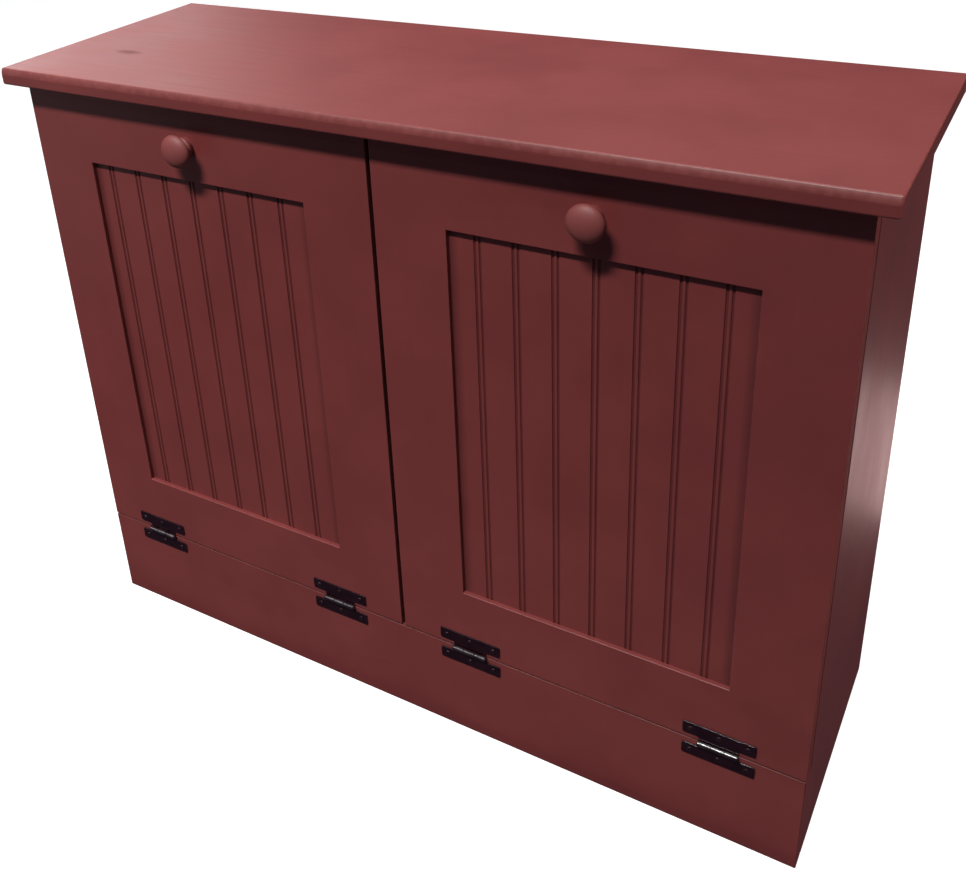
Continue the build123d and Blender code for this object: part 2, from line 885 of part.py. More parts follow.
    # Bin, tapered, open at the top, with a turned-down rim
    bin_top_z = carrier_floor_z + bin_height
    with BuildPart() as trash_bin:
        for inset, floor_z, loft_mode in (
            (0, carrier_floor_z, Mode.ADD),
            (bin_wall, carrier_floor_z + bin_wall, Mode.SUBTRACT),
        ):
            radius = bin_corner_radius - inset
            with BuildSketch(Plane.XY.offset(floor_z)):
                with Locations((carrier_middle, bin_y)):
                    RectangleRounded(bin_bottom_width - 2 * inset, bin_bottom_depth - 2 * inset, radius)
            with BuildSketch(Plane.XY.offset(bin_top_z)):
                with Locations((carrier_middle, bin_y)):
                    RectangleRounded(bin_top_width - 2 * inset, bin_top_depth - 2 * inset, radius)
            loft(mode=loft_mode)
        for low, outset, inset in (
            (bin_top_z - bin_wall, bin_rim, -bin_wall),
            (bin_top_z - bin_rim_drop, bin_rim, bin_rim - bin_wall),
        ):
            with BuildSketch(Plane.XY.offset(low)):
                with Locations((carrier_middle, bin_y)):
                    for grow, sketch_mode in ((outset, Mode.ADD), (inset, Mode.SUBTRACT)):
                        RectangleRounded(
                            bin_top_width + 2 * grow,
                            bin_top_depth + 2 * grow,
                            bin_corner_radius + grow,
                            mode=sketch_mode,
                        )
            extrude(amount=bin_top_z - low)
    keep(trash_bin, f"{side_name}_bin")


build_door("left", sides["left"], left_bead_start)
build_door("right", sides["right"], right_bead_start)
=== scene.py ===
import json
from math import acos, cos, hypot, pi, radians, sin, tan

import bmesh
import bpy
from mathutils import Matrix, Vector


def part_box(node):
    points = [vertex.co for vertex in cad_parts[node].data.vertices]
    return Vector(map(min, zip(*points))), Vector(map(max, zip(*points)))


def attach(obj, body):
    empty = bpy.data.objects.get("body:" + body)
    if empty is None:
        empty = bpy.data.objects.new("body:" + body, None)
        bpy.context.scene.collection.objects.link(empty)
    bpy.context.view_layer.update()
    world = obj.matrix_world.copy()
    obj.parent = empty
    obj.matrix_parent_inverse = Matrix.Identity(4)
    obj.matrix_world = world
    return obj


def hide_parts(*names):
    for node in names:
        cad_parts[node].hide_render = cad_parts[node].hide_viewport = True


# The looks of the tilt-out trash cabinet. Every shape here takes its place and size from the
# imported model's nodes. Lengths are in metres; MM and a number give a length in millimetres.

MM = 0.001
# How close counts as the same point, as on a plane and as beside one.
SAME_POINT, TOUCH, NEAR = 0.0005 * MM, 0.01 * MM, 0.1 * MM
TINY = 1e-9

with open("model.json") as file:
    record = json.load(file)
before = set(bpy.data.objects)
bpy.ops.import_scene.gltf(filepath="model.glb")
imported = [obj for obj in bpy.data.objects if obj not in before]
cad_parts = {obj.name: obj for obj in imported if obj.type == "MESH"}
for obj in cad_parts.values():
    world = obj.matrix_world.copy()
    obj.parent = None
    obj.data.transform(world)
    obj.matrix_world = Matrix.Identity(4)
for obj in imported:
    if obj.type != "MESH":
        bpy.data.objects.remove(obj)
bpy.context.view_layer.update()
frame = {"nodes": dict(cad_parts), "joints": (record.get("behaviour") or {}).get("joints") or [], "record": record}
nodes = frame["nodes"]
record = frame["record"]
bodies = record["behaviour"]["bodies"]
body_of = {node: body for body, members in bodies.items() for node in members}
tilt = radians(frame["joints"][0]["range_deg"][1])
scene = bpy.context.scene


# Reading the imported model


def islands(node):
    """The lowest and highest corner of each separate solid of a node, and its points."""
    mesh = bmesh.new()
    mesh.from_mesh(nodes[node].data)
    bmesh.ops.remove_doubles(mesh, verts=mesh.verts, dist=4 * SAME_POINT)
    found, seen = [], set()
    for start in mesh.verts:
        if start in seen:
            continue
        seen.add(start)
        group, queue = [], [start]
        while queue:
            vert = queue.pop()
            group.append(vert.co.copy())
            for edge in vert.link_edges:
                other = edge.other_vert(vert)
                if other not in seen:
                    seen.add(other)
                    queue.append(other)
        low = Vector([min(p[i] for p in group) for i in range(3)])
        high = Vector([max(p[i] for p in group) for i in range(3)])
        found.append((low, high, group))
    mesh.free()
    return sorted(found, key=lambda island: tuple(round(c, 5) for c in island[0]))


GROOVE_SPAN = 2 * MM


def groove_places(node):
    """The middles, in x, of the grooves run up a panel's front face."""
    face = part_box(node)[0].y
    points = [vert.co for vert in nodes[node].data.vertices]
    groups = []
    for x in sorted(p.x for p in points if face + 2 * TOUCH < p.y < face + GROOVE_SPAN):
        if groups and x - groups[-1][-1] < GROOVE_SPAN:
            groups[-1].append(x)
        else:
            groups.append([x])
    return [(group[0] + group[-1]) / 2 for group in groups]


# Building meshes


STRAIGHT = 0.01


def rounded(points, radii, steps=4):
    """The closed outline through the points, with each corner rounded by its radius."""
    if not isinstance(radii, (list, tuple)):
        radii = [radii] * len(points)
    outline = []
    for i, corner in enumerate(points):
        here = Vector(corner)
        before = (Vector(points[i - 1]) - here).normalized()
        after = (Vector(points[(i + 1) % len(points)]) - here).normalized()
        half = acos(max(-1.0, min(1.0, before.dot(after)))) / 2
        if radii[i] <= 0 or half > pi / 2 - STRAIGHT:
            outline.extend([here] * (steps + 1) if radii[i] > 0 else [here])
            continue
        middle = here + (before + after).normalized() * (radii[i] / sin(half))
        start = here + before * (radii[i] / tan(half)) - middle
        turn = pi - 2 * half
        if before.x * after.y - before.y * after.x > 0:
            turn = -turn
        for step in range(steps + 1):
            outline.append(middle + Matrix.Rotation(turn * step / steps, 2) @ start)
    return outline


def rectangle(x0, x1, y0, y1):
    """The corners of a rectangle, anticlockwise."""
    return [(x0, y0), (x1, y0), (x1, y1), (x0, y1)]


def signed_area(outline):
    """The area inside an outline, positive if it runs anticlockwise."""
    pairs = zip(outline, outline[1:] + outline[:1])
    return sum(a[0] * b[1] - b[0] * a[1] for a, b in pairs) / 2


SHARPEST = 0.35


def inset(outline, distance):
    """The outline moved inwards by a distance, point by point."""
    if distance == 0:
        return list(outline)
    side = 1 if signed_area(outline) > 0 else -1
    moved = []
    count = len(outline)
    for i, here in enumerate(outline):
        back, ahead = 1, 1
        while back < count and (here - outline[i - back]).length < TINY:
            back += 1
        while ahead < count and (outline[(i + ahead) % count] - here).length < TINY:
            ahead += 1
        into = (here - outline[i - back]).normalized()
        out = (outline[(i + ahead) % count] - here).normalized()
        normal = Vector((-into.y - out.y, into.x + out.x)) * side
        scale = max(SHARPEST, normal.length / 2)
        moved.append(here + normal.normalized() * (distance / scale))
    return moved


def quarter_turn(steps):
    """Even angles from none to a quarter turn, both included."""
    return [pi / 2 * step / steps for step in range(steps + 1)]


def full_turn(count):
    """Even angles all the way round."""
    return [2 * pi * i / count for i in range(count)]


def quarter(radius, steps=3):
    """Along and inset of points round a quarter circle, from its start on the flat to its side."""
    return [(radius * (1 - cos(angle)), radius * (1 - sin(angle))) for angle in quarter_turn(steps)]


def share(value):
    """The value, held between none and all."""
    return max(0.0, min(1.0, value))


def skin(loops, ring=False):
    """A mesh through closed loops of as many points each, capped, or closed on itself as a ring."""
    mesh = bmesh.new()
    rows = [[mesh.verts.new(point) for point in loop] for loop in loops]
    pairs = list(zip(rows, rows[1:] + rows[:1])) if ring else list(zip(rows, rows[1:]))
    for low, high in pairs:
        for i in range(len(low)):
            j = (i + 1) % len(low)
            mesh.faces.new((low[i], low[j], high[j], high[i]))
    if not ring:
        mesh.faces.new(reversed(rows[0]))
        mesh.faces.new(rows[-1])
    tidy(mesh)
    return mesh


def tidy(mesh):
    """Joins points that coincide, drops what has no area and turns the faces outwards."""
    bmesh.ops.remove_doubles(mesh, verts=mesh.verts, dist=SAME_POINT)
    bmesh.ops.dissolve_degenerate(mesh, dist=SAME_POINT, edges=mesh.edges)
    bmesh.ops.recalc_face_normals(mesh, faces=mesh.faces)


NARROW, BEND = 1.6 * MM, radians(8)


def mark_edges(mesh):
    """Gives each point an edge value: 1 on a narrow rim that bends outwards, 0 elsewhere."""
    layer = mesh.verts.layers.float.new("edge")
    mesh.normal_update()
    width = {face: face.calc_area() / max(e.calc_length() for e in face.edges) for face in mesh.faces}
    for vert in mesh.verts:
        bends = [edge.calc_face_angle_signed(0) for edge in vert.link_edges]
        if max(width[face] for face in vert.link_faces) < NARROW and max(bends) > BEND:
            vert[layer] = 1.0


def mark(mesh, name, value_at):
    """Gives each point a value of its own in a named layer, from its place."""
    layer = mesh.verts.layers.float.new(name)
    for vert in mesh.verts:
        vert[layer] = value_at(vert.co)


AXES = {
    "x": lambda u, v, w: Vector((w, u, v)),
    "y": lambda u, v, w: Vector((u, w, v)),
    "z": lambda u, v, w: Vector((u, v, w)),
}


def prism(outline, axis, start, end, start_rim=0.0, end_rim=0.0, between=()):
    """A solid of an outline run along an axis, its ends' rims rounded."""
    place = AXES[axis]
    way = 1 if end > start else -1
    levels = [(start + way * along, cut) for along, cut in quarter(start_rim)]
    levels += [(level, 0) for level in between]
    levels += [(end - way * along, cut) for along, cut in reversed(quarter(end_rim))]
    return skin([[place(p.x, p.y, w) for p in inset(outline, cut)] for w, cut in levels])


def board(low, high, axis, ease):
    """A board along an axis, all its edges eased."""
    u, v, w = {"x": (1, 2, 0), "y": (0, 2, 1), "z": (0, 1, 2)}[axis]
    outline = rounded(rectangle(low[u], high[u], low[v], high[v]), ease, steps=3)
    return prism(outline, axis, low[w], high[w], ease, ease)


def lathe(profile, centre, outward, segments):
    """A turned solid: its profile is (radius, height) pairs, its heights run along outward.

    A list in place of a radius gives the reach at each of the segments, for what isn't round.
    """
    up = Vector(outward).normalized()
    across = up.orthogonal().normalized()
    other = up.cross(across)
    spokes = [across * cos(angle) + other * sin(angle) for angle in full_turn(segments)]
    loops = []
    for radius, height in profile:
        reaches = radius if isinstance(radius, list) else [radius] * segments
        middle = Vector(centre) + up * height
        loops.append([middle + spoke * reach for spoke, reach in zip(spokes, reaches)])
    return skin(loops)


def merged(meshes):
    """One mesh of several."""
    whole = bmesh.new()
    for part in meshes:
        data = bpy.data.meshes.new("part")
        part.to_mesh(data)
        whole.from_mesh(data)
        bpy.data.meshes.remove(data)
        part.free()
    return whole


def shown(name, data):
    """A new object in the scene."""
    thing = bpy.data.objects.new(name, data)
    scene.collection.objects.link(thing)
    return thing


def smooth_piece(name, mesh, finish):
    """A smooth-shaded object of a mesh, with its material."""
    data = bpy.data.meshes.new(name)
    mesh.to_mesh(data)
    mesh.free()
    data.materials.append(finish)
    for face in data.polygons:
        face.use_smooth = True
    return shown(name, data)


def dress(node, mesh, finish, sharp=35):
    """Shows a mesh in place of a CAD node, on the node's body and with the given material."""
    if "edge" not in mesh.verts.layers.float:
        mark_edges(mesh)
    piece = smooth_piece(f"{node}_finished", mesh, finish)
    piece.data.set_sharp_from_angle(angle=radians(sharp))
    normals = piece.modifiers.new("normals", "WEIGHTED_NORMAL")
    normals.keep_sharp = True
    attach(piece, body_of[node])
    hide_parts(node)


def coat(node, finish):
    """Gives a CAD node, kept as it is, its material."""
    nodes[node].data.materials.clear()
    nodes[node].data.materials.append(finish)


# Materials


class Finish:
    """A material made of named nodes, each call adding one node and returning its output."""

    def __init__(self, name):
        self.material = bpy.data.materials.new(name)
        self.material.use_nodes = True
        self.tree = self.material.node_tree
        self.tree.nodes.clear()
        self.shader = self.tree.nodes.new("ShaderNodeBsdfPrincipled")
        output = self.tree.nodes.new("ShaderNodeOutputMaterial")
        self.tree.links.new(self.shader.outputs["BSDF"], output.inputs["Surface"])
        self.place = self.tree.nodes.new("ShaderNodeTexCoord").outputs["Object"]

    def add(self, kind, inputs, **settings):
        node = self.tree.nodes.new("ShaderNode" + kind)
        for key, value in settings.items():
            setattr(node, key, value)
        for key, value in inputs.items():
            self.put(node.inputs[key], value)
        return node

    def put(self, socket, value):
        if isinstance(value, bpy.types.NodeSocket):
            self.tree.links.new(value, socket)
        else:
            socket.default_value = value

    def set(self, **values):
        for key, value in values.items():
            self.put(self.shader.inputs[key.replace("_", " ")], value)

    def stretched(self, scale, shift=(0, 0, 0)):
        """The object's own coordinates, scaled by one number or by three."""
        scale = scale if isinstance(scale, tuple) else (scale,) * 3
        return self.add("Mapping", {"Vector": self.place, "Scale": scale, "Location": shift}).outputs[0]

    def noise(self, scale, shift=(0, 0, 0), detail=3.0, roughness=0.5, distortion=0.0):
        inputs = {"Vector": self.stretched(scale, shift), "Scale": 1.0, "Detail": detail}
        inputs |= {"Roughness": roughness, "Distortion": distortion}
        return self.add("TexNoise", inputs).outputs["Fac"]

    def math(self, operation, a, b=0.0, clamp=False):
        return self.add("Math", {0: a, 1: b}, operation=operation, use_clamp=clamp).outputs[0]

    def times(self, a, b):
        return self.math("MULTIPLY", a, b)

    def plus(self, a, b, clamp=False):
        return self.math("ADD", a, b, clamp)

    def larger(self, a, b):
        return self.math("MAXIMUM", a, b)

    def spread(self, value, low, high, to_low=0.0, to_high=1.0):
        """Maps low..high to to_low..to_high, smoothly and no further."""
        inputs = {0: value, 1: low, 2: high, 3: to_low, 4: to_high}
        return self.add("MapRange", inputs, interpolation_type="SMOOTHSTEP").outputs[0]

    def mix(self, factor, a, b):
        node = self.tree.nodes.new("ShaderNodeMix")
        node.data_type = "RGBA"
        self.put(node.inputs["Factor"], factor)
        self.put(node.inputs[6], a)
        self.put(node.inputs[7], b)
        return node.outputs[2]

    def over(self, body, tone, value, *span):
        """A colour with a tone laid over it, by where a value lies in a span."""
        return self.mix(self.spread(value, *span), body, tone)

    def split(self, vector):
        return self.add("SeparateXYZ", {0: vector}).outputs

    def marked(self, layer):
        """A value that the mesh gives at each of its points, such as edge or hollow."""
        return self.add("Attribute", {}, attribute_name=layer).outputs["Fac"]

    def bump(self, height, distance, strength=1.0, normal=None):
        inputs = {"Height": height, "Distance": distance, "Strength": strength}
        if normal is not None:
            inputs["Normal"] = normal
        return self.add("Bump", inputs).outputs[0]


def colour(red, green, blue):
    """A display colour, 0 to 255, as the linear colour that shaders take."""
    linear = []
    for value in (red, green, blue):
        part = value / 255
        linear.append(part / 12.92 if part <= 0.04045 else ((part + 0.055) / 1.055) ** 2.4)
    return (*linear, 1.0)


def along(axis, fine, coarse):
    """Texture scales that are coarse along an axis and fine across it."""
    return tuple(coarse if name == axis else fine for name in "xyz")


PAINT = colour(121, 51, 49)
PAINT_DEEP = colour(113, 46, 45)
# Paint worn thin on rims, also laid all over the knob, where it is partly painted light.
PAINT_WORN_AND_LIT = colour(148, 78, 74)
# Dark red of painted shade in grooves and beside walls; also the knot's rings.
PAINT_SHADE_AND_KNOT = colour(52, 18, 20)
# Near-black of painted shade in the joints where parts meet.
PAINT_GAP_SHADE = colour(30, 8, 11)
PINE_LIGHT = colour(222, 188, 138)
PINE_DARK = colour(188, 140, 88)
PINE_KNOT = colour(110, 66, 36)
KNOT_SPREAD = (24 * MM, 11 * MM, 24 * MM)


def paint(grain, name="", lit_and_worn=0.0, dull=0.0, knot=None):
    """Satin barn-red paint along the grain, thinner on rims, with painted shade in grooves, gaps and beside walls.
    """
    finish = Finish(f"red_paint_{name or grain}")
    brush = finish.noise(along(grain, 520, 7), detail=4, roughness=0.62)
    wood = finish.noise(along(grain, 80, 2.6), (3.1, 1.7, 0.4), detail=5, distortion=0.6)
    cloud = finish.noise(9, (0.3, 4.2, 2.0), detail=4, roughness=0.6)
    speck = finish.noise(900, detail=2)
    patchy = finish.spread(finish.noise(160, (9, 1, 5), detail=4), 0.36, 0.66, 0.3)
    worn = finish.times(finish.marked("edge"), finish.times(patchy, 0.4))
    body = finish.over(PAINT_DEEP, PAINT, cloud, 0.3, 0.7)
    body = finish.over(body, PAINT_DEEP, wood, 0.45, 0.75, 0.0, 0.25)
    body = finish.over(body, PAINT_DEEP, speck, 0.3, 0.7, 0.0, 0.12)
    # Worn rims; for the knob, a lighter tone all over that is partly wear and partly painted light.
    body = finish.mix(finish.larger(worn, lit_and_worn), body, PAINT_WORN_AND_LIT)
    # Painted shade: darker deep in the grooves and on the panel beside the opening's upright walls.
    hollow = finish.times(finish.math("POWER", finish.marked("hollow"), 1.7), 0.5)
    painted_wall_shade = finish.times(finish.marked("corner"), 0.4)
    body = finish.mix(finish.larger(hollow, painted_wall_shade), body, PAINT_SHADE_AND_KNOT)
    # Painted shade in the joints beside the doors and in the seam above the apron.
    body = finish.mix(finish.times(finish.marked("gap"), 0.92), body, PAINT_GAP_SHADE)
    bare = finish.marked("bare")
    body = finish.mix(bare, body, finish.over(PINE_LIGHT, PINE_DARK, wood, 0.35, 0.7))
    rough = finish.spread(cloud, 0.3, 0.7, 0.44, 0.48)
    rough = finish.plus(rough, finish.spread(brush, 0.3, 0.7, -0.02, 0.04))
    sanded = finish.larger(finish.marked("gap"), finish.marked("sanded"))
    rough = finish.plus(rough, finish.times(sanded, 0.4), clamp=True)
    rough = finish.plus(rough, finish.plus(finish.times(bare, 0.15), dull), clamp=True)
    relief = finish.bump(brush, 0.09 * MM, 0.22)
    relief = finish.bump(wood, 0.22 * MM, 0.20, relief)
    relief = finish.bump(speck, 0.03 * MM, 0.25, relief)
    if knot:
        offset = finish.add("VectorMath", {0: finish.place, 1: knot}, operation="SUBTRACT").outputs[0]
        scaled = finish.add("VectorMath", {0: offset, 1: KNOT_SPREAD}, operation="DIVIDE").outputs[0]
        away = finish.add("VectorMath", {0: scaled}, operation="LENGTH").outputs["Value"]
        away = finish.plus(away, finish.times(finish.math("SUBTRACT", wood, 0.5), 0.9))
        near = finish.spread(away, 0.25, 1.0, 1.0, 0.0)
        rings = finish.math("SINE", finish.times(away, 13.0))
        ringed = finish.times(near, finish.spread(rings, -1.0, 1.0, 0.2, 0.5))
        body = finish.mix(ringed, body, PAINT_SHADE_AND_KNOT)
        rough = finish.plus(rough, finish.times(near, 0.12), clamp=True)
        relief = finish.bump(finish.times(near, rings), 0.15 * MM, 0.6, relief)
    finish.set(Base_Color=body, Roughness=rough, Normal=relief)
    return finish.material


def pine(grain, shift, name, painted_to=None):
    """Sanded pine: growth rings, pores and a few knots. It is painted in front of painted_to, in y."""
    finish = Finish(name)
    wander = finish.noise(along(grain, 9, 1.1), shift, detail=3)
    across = finish.stretched(along(grain, 30, 0.9), shift)
    bent = finish.add("VectorMath", {0: across, 1: wander}, operation="ADD").outputs[0]
    rings = finish.add(
        "TexWave",
        {"Vector": bent, "Scale": 1.0, "Distortion": 5.0, "Detail": 3.0, "Detail Scale": 0.8},
        wave_type="RINGS",
        rings_direction=grain.upper(),
        wave_profile="SAW",
    ).outputs["Fac"]
    fibre = finish.noise(along(grain, 1100, 22), shift, detail=4, roughness=0.65)
    tone = finish.noise(4, shift, detail=2)
    wood = finish.over(PINE_LIGHT, PINE_DARK, rings, 0.15, 1.0, 0.0, 0.8)
    wood = finish.over(wood, PINE_DARK, fibre, 0.5, 0.8, 0.0, 0.35)
    wood = finish.over(wood, PINE_LIGHT, tone, 0.35, 0.75, 0.0, 0.3)
    cells = {"Vector": finish.stretched(along(grain, 9, 3), shift), "Scale": 1.0, "Randomness": 1.0}
    knots = finish.add("TexVoronoi", cells).outputs["Distance"]
    wood = finish.over(wood, PINE_KNOT, knots, 0.03, 0.11, 0.85, 0.0)
    wood = finish.mix(finish.times(finish.marked("edge"), 0.35), wood, PINE_LIGHT)
    if painted_to is not None:
        front = finish.math("LESS_THAN", finish.split(finish.place)[1], painted_to)
        wood = finish.mix(front, wood, PAINT_DEEP)
    relief = finish.bump(fibre, 0.08 * MM, 0.5)
    relief = finish.bump(rings, 0.10 * MM, 0.3, relief)
    rough = finish.spread(fibre, 0.3, 0.8, 0.50, 0.68)
    finish.set(Base_Color=wood, Roughness=rough, Normal=relief)
    return finish.material


PLY_FACE = colour(214, 180, 132)
PLY_CORE = colour(168, 122, 76)
PLY_FIGURE = colour(186, 146, 98)
PLY_END = colour(120, 82, 50)


def plywood(name, node, grain, thick, shift, plies=5):
    """Bare plywood of a node: a veneer's grain on the faces and the plies in stripes along the edges."""
    low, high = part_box(node)
    finish = Finish(name)
    figure = finish.noise(along(grain, 42, 1.6), shift, detail=5, distortion=1.2)
    fibre = finish.noise(along(grain, 1200, 20), shift, detail=3)
    face = finish.over(PLY_FACE, PLY_FIGURE, figure, 0.35, 0.7)
    face = finish.over(face, PLY_CORE, fibre, 0.5, 0.8, 0.0, 0.3)
    across = "xyz".index(thick)
    depth = finish.split(finish.place)[across]
    layer = (high[across] - low[across]) / plies
    count = finish.math("DIVIDE", finish.math("SUBTRACT", depth, low[across]), layer)
    stripe = finish.math("PINGPONG", count, 1.0)
    edge_wood = finish.over(PLY_CORE, PLY_FACE, stripe, 0.35, 0.65)
    end = finish.noise(700, shift, detail=3)
    edge_wood = finish.over(edge_wood, PLY_END, end, 0.45, 0.8, 0.0, 0.5)
    normal = finish.split(finish.add("NewGeometry", {}).outputs["Normal"])[across]
    # The plies show where the surface doesn't face along the thickness.
    facing = finish.spread(finish.math("ABSOLUTE", normal), 0.6, 0.8)
    wood = finish.mix(facing, edge_wood, face)
    relief = finish.bump(fibre, 0.08 * MM, 0.5)
    finish.set(Base_Color=wood, Roughness=finish.spread(fibre, 0.3, 0.8, 0.5, 0.66), Normal=relief)
    return finish.material


ENAMEL_DARK, ENAMEL = (0.009, 0.001, 0.003, 1), (0.014, 0.002, 0.005, 1)
# Rubbed enamel on edges, then the bright steel of the painted highlight along the hinge barrels' crests.
ENAMEL_RUBBED, STEEL_GLINT = (0.034, 0.022, 0.026, 1), (0.55, 0.52, 0.53, 1)


def black_iron(name, rubbed=1.0, dull=0.0):
    """Semi-gloss black enamel over steel, rubbed along its edges, with a painted highlight of bright steel along
    each barrel's crest.
    """
    finish = Finish(name)
    orange_peel = finish.noise(420, detail=2)
    fine = finish.noise(2200, detail=2)
    cloud = finish.noise(70, detail=3)
    patches = finish.spread(cloud, 0.35, 0.65, 0.15 * rubbed, 0.7 * rubbed)
    black = finish.over(ENAMEL_DARK, ENAMEL, cloud, 0.3, 0.7)
    black = finish.mix(finish.times(finish.marked("edge"), patches), black, ENAMEL_RUBBED)
    # Painted highlight: bright, partly metallic steel along each barrel's crest.
    turned = finish.times(finish.marked("turned"), finish.spread(cloud, 0.3, 0.7, 0.3, 0.42))
    black = finish.mix(turned, black, STEEL_GLINT)
    rough = finish.spread(cloud, 0.3, 0.7, 0.09, 0.13)
    rough = finish.plus(rough, finish.spread(fine, 0.3, 0.7, dull, dull + 0.03))
    relief = finish.bump(orange_peel, 0.06 * MM, 0.25)
    relief = finish.bump(fine, 0.02 * MM, 0.3, relief)
    finish.set(Base_Color=black, Roughness=rough, Metallic=turned, Normal=relief)
    return finish.material


ZINC_BLUE, ZINC_YELLOW, ZINC_DULL = (0.56, 0.57, 0.60, 1), (0.66, 0.63, 0.54, 1), (0.34, 0.34, 0.35, 1)


def zinc_steel():
    """Zinc-plated steel: brushed, with faint yellow and blue tints."""
    finish = Finish("zinc_steel")
    tint = finish.noise(45, detail=3)
    lines = finish.noise((90, 90, 2400), detail=3)
    spots = finish.noise(600, detail=2)
    metal = finish.over(ZINC_BLUE, ZINC_YELLOW, tint, 0.35, 0.65)
    metal = finish.over(metal, ZINC_DULL, spots, 0.6, 0.8, 0.0, 0.35)
    rough = finish.spread(lines, 0.3, 0.7, 0.24, 0.40)
    rough = finish.plus(rough, finish.spread(spots, 0.4, 0.8, 0, 0.1))
    finish.set(Base_Color=metal, Roughness=rough, Normal=finish.bump(lines, 0.02 * MM, 0.4))
    finish.set(Metallic=1.0)
    return finish.material


BIN_PALE, BIN_DEEP, BIN_SCUFF = colour(226, 225, 219), colour(216, 214, 206), colour(176, 172, 164)
IVORY, IVORY_DEEP = colour(228, 222, 205), colour(198, 190, 170)


def bin_plastic():
    """Pale moulded plastic with a fine texture and light scuffs."""
    finish = Finish("bin_plastic")
    grain = finish.noise(1500, detail=2)
    scuffs = finish.noise((160, 160, 14), (2, 5, 1), detail=4, roughness=0.7)
    cloud = finish.noise(6, detail=3)
    body = finish.over(BIN_PALE, BIN_DEEP, cloud, 0.3, 0.7)
    body = finish.over(body, BIN_SCUFF, scuffs, 0.62, 0.78, 0.0, 0.35)
    rough = finish.spread(scuffs, 0.4, 0.75, 0.42, 0.58)
    finish.set(Base_Color=body, Roughness=rough, Normal=finish.bump(grain, 0.05 * MM, 0.5))
    finish.set(Subsurface_Weight=0.08, Subsurface_Scale=4 * MM)
    return finish.material


def catch_plastic():
    """Ivory plastic of the catches."""
    finish = Finish("catch_plastic")
    grain = finish.noise(900, detail=2)
    dust = finish.noise(120, detail=4)
    body = finish.over(IVORY, IVORY_DEEP, dust, 0.45, 0.75)
    finish.set(Base_Color=body, Roughness=finish.spread(dust, 0.3, 0.7, 0.35, 0.5))
    finish.set(Normal=finish.bump(grain, 0.04 * MM, 0.5))
    return finish.material


KNOT_X, KNOT_FROM_FRONT = -377 * MM, 104 * MM

top_low, top_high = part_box("top_board")
paint_x, paint_z = paint("x"), paint("z")
paint_top = paint("x", "top", knot=(KNOT_X, top_low.y + KNOT_FROM_FRONT, top_high.z))
# The knob's paint is lighter all over: partly wear, partly painted light for the light its head catches.
paint_knob = paint("y", "knob", lit_and_worn=0.3, dull=0.12)
iron, screw_iron = black_iron("black_enamel"), black_iron("black_screws", rubbed=0.2, dull=0.25)
zinc, plastic, ivory = zinc_steel(), bin_plastic(), catch_plastic()


# Top board: rounded over along its front, eased at its ends and square at the back

TOP_TIGHT, TOP_SLOW, TOP_TURN = 2.2 * MM, 15 * MM, radians(62)
TOP_LOWER_ROUND, TOP_END, TOP_BACK_EASE = 2.5 * MM, 2.4 * MM, 0.8 * MM


def top_rim(steps=6):
    """In from the face and down from the top of points round the front rim, from the face up."""
    reach = TOP_TIGHT * sin(TOP_TURN) + TOP_SLOW * (1 - sin(TOP_TURN))
    drop = TOP_TIGHT * (1 - cos(TOP_TURN)) + TOP_SLOW * cos(TOP_TURN)
    slow = [pi / 2 + (TOP_TURN - pi / 2) * step / steps for step in range(steps + 1)]
    tight = [TOP_TURN * (1 - step / steps) for step in range(1, steps + 1)]
    points = [(TOP_SLOW * (1 - sin(a)), drop - TOP_SLOW * cos(a)) for a in slow]
    return points + [(reach - TOP_TIGHT * sin(a), TOP_TIGHT * (1 - cos(a))) for a in tight]


def build_top():
    """The top board, its front rim bent tightly above and slowly down the face."""
    low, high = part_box("top_board")
    section = [(low.y + cut, low.z + rise) for rise, cut in quarter(TOP_LOWER_ROUND, 4)]
    section += [(low.y + cut, high.z - drop) for cut, drop in top_rim()]
    section += [(high.y - TOP_BACK_EASE, high.z), (high.y, high.z - TOP_BACK_EASE)]
    section += [(high.y, low.z + TOP_BACK_EASE), (high.y - TOP_BACK_EASE, low.z)]
    outline = [Vector(point) for point in reversed(section)]
    dress("top_board", prism(outline, "x", low.x, high.x, TOP_END, TOP_END), paint_top)


build_top()


# Case

EASE = 1.2 * MM
SMALL_EASE = 0.6 * MM
JOINT_ROUND = 2.8 * MM
# The painted shade in the joints behind the doors: how strongly it is laid on and how far above the apron it
# starts.
GAP_SPREAD, GAP_START, FRONT_PAINTED = 1.6, 2 * MM, 1 * MM


def build_sides():
    """The side panels, rabbeted at the back for the back panel."""
    back_low, back_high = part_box("back_panel")
    apron_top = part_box("base_apron")[1].z
    for name, side in (("left_side", -1), ("right_side", 1)):
        low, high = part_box(name)
        outer, inner = (high.x, low.x) if side > 0 else (low.x, high.x)
        rabbet = back_high.x if side > 0 else back_low.x
        turn = outer - side * (JOINT_ROUND + SMALL_EASE)
        points = [(inner, low.y), (turn, low.y), (outer, low.y), (outer, high.y)]
        points += [(rabbet, high.y), (rabbet, back_low.y), (inner, back_low.y)]
        radii = [SMALL_EASE, 0, JOINT_ROUND, EASE, SMALL_EASE, 0, SMALL_EASE]
        between = (apron_top, apron_top + GAP_START)
        panel = prism(rounded(points, radii), "z", low.z, high.z, SMALL_EASE, 0, between)

        def gap(place):
            """Painted shade where the panel's front corner turns in behind the door."""
            if place.z < apron_top + GAP_START / 2 or abs(place.x) < abs(turn) + TOUCH:
                return 0.0
            return share(GAP_SPREAD * (1 - (place.y - low.y) / JOINT_ROUND))

        inside = abs(inner) + SMALL_EASE / 2
        mark(panel, "gap", gap)
        mark(panel, "bare", lambda place: 1.0 if abs(place.x) < inside else 0.0)
        dress(name, panel, paint_z)


APRON_EASE = 0.45 * MM


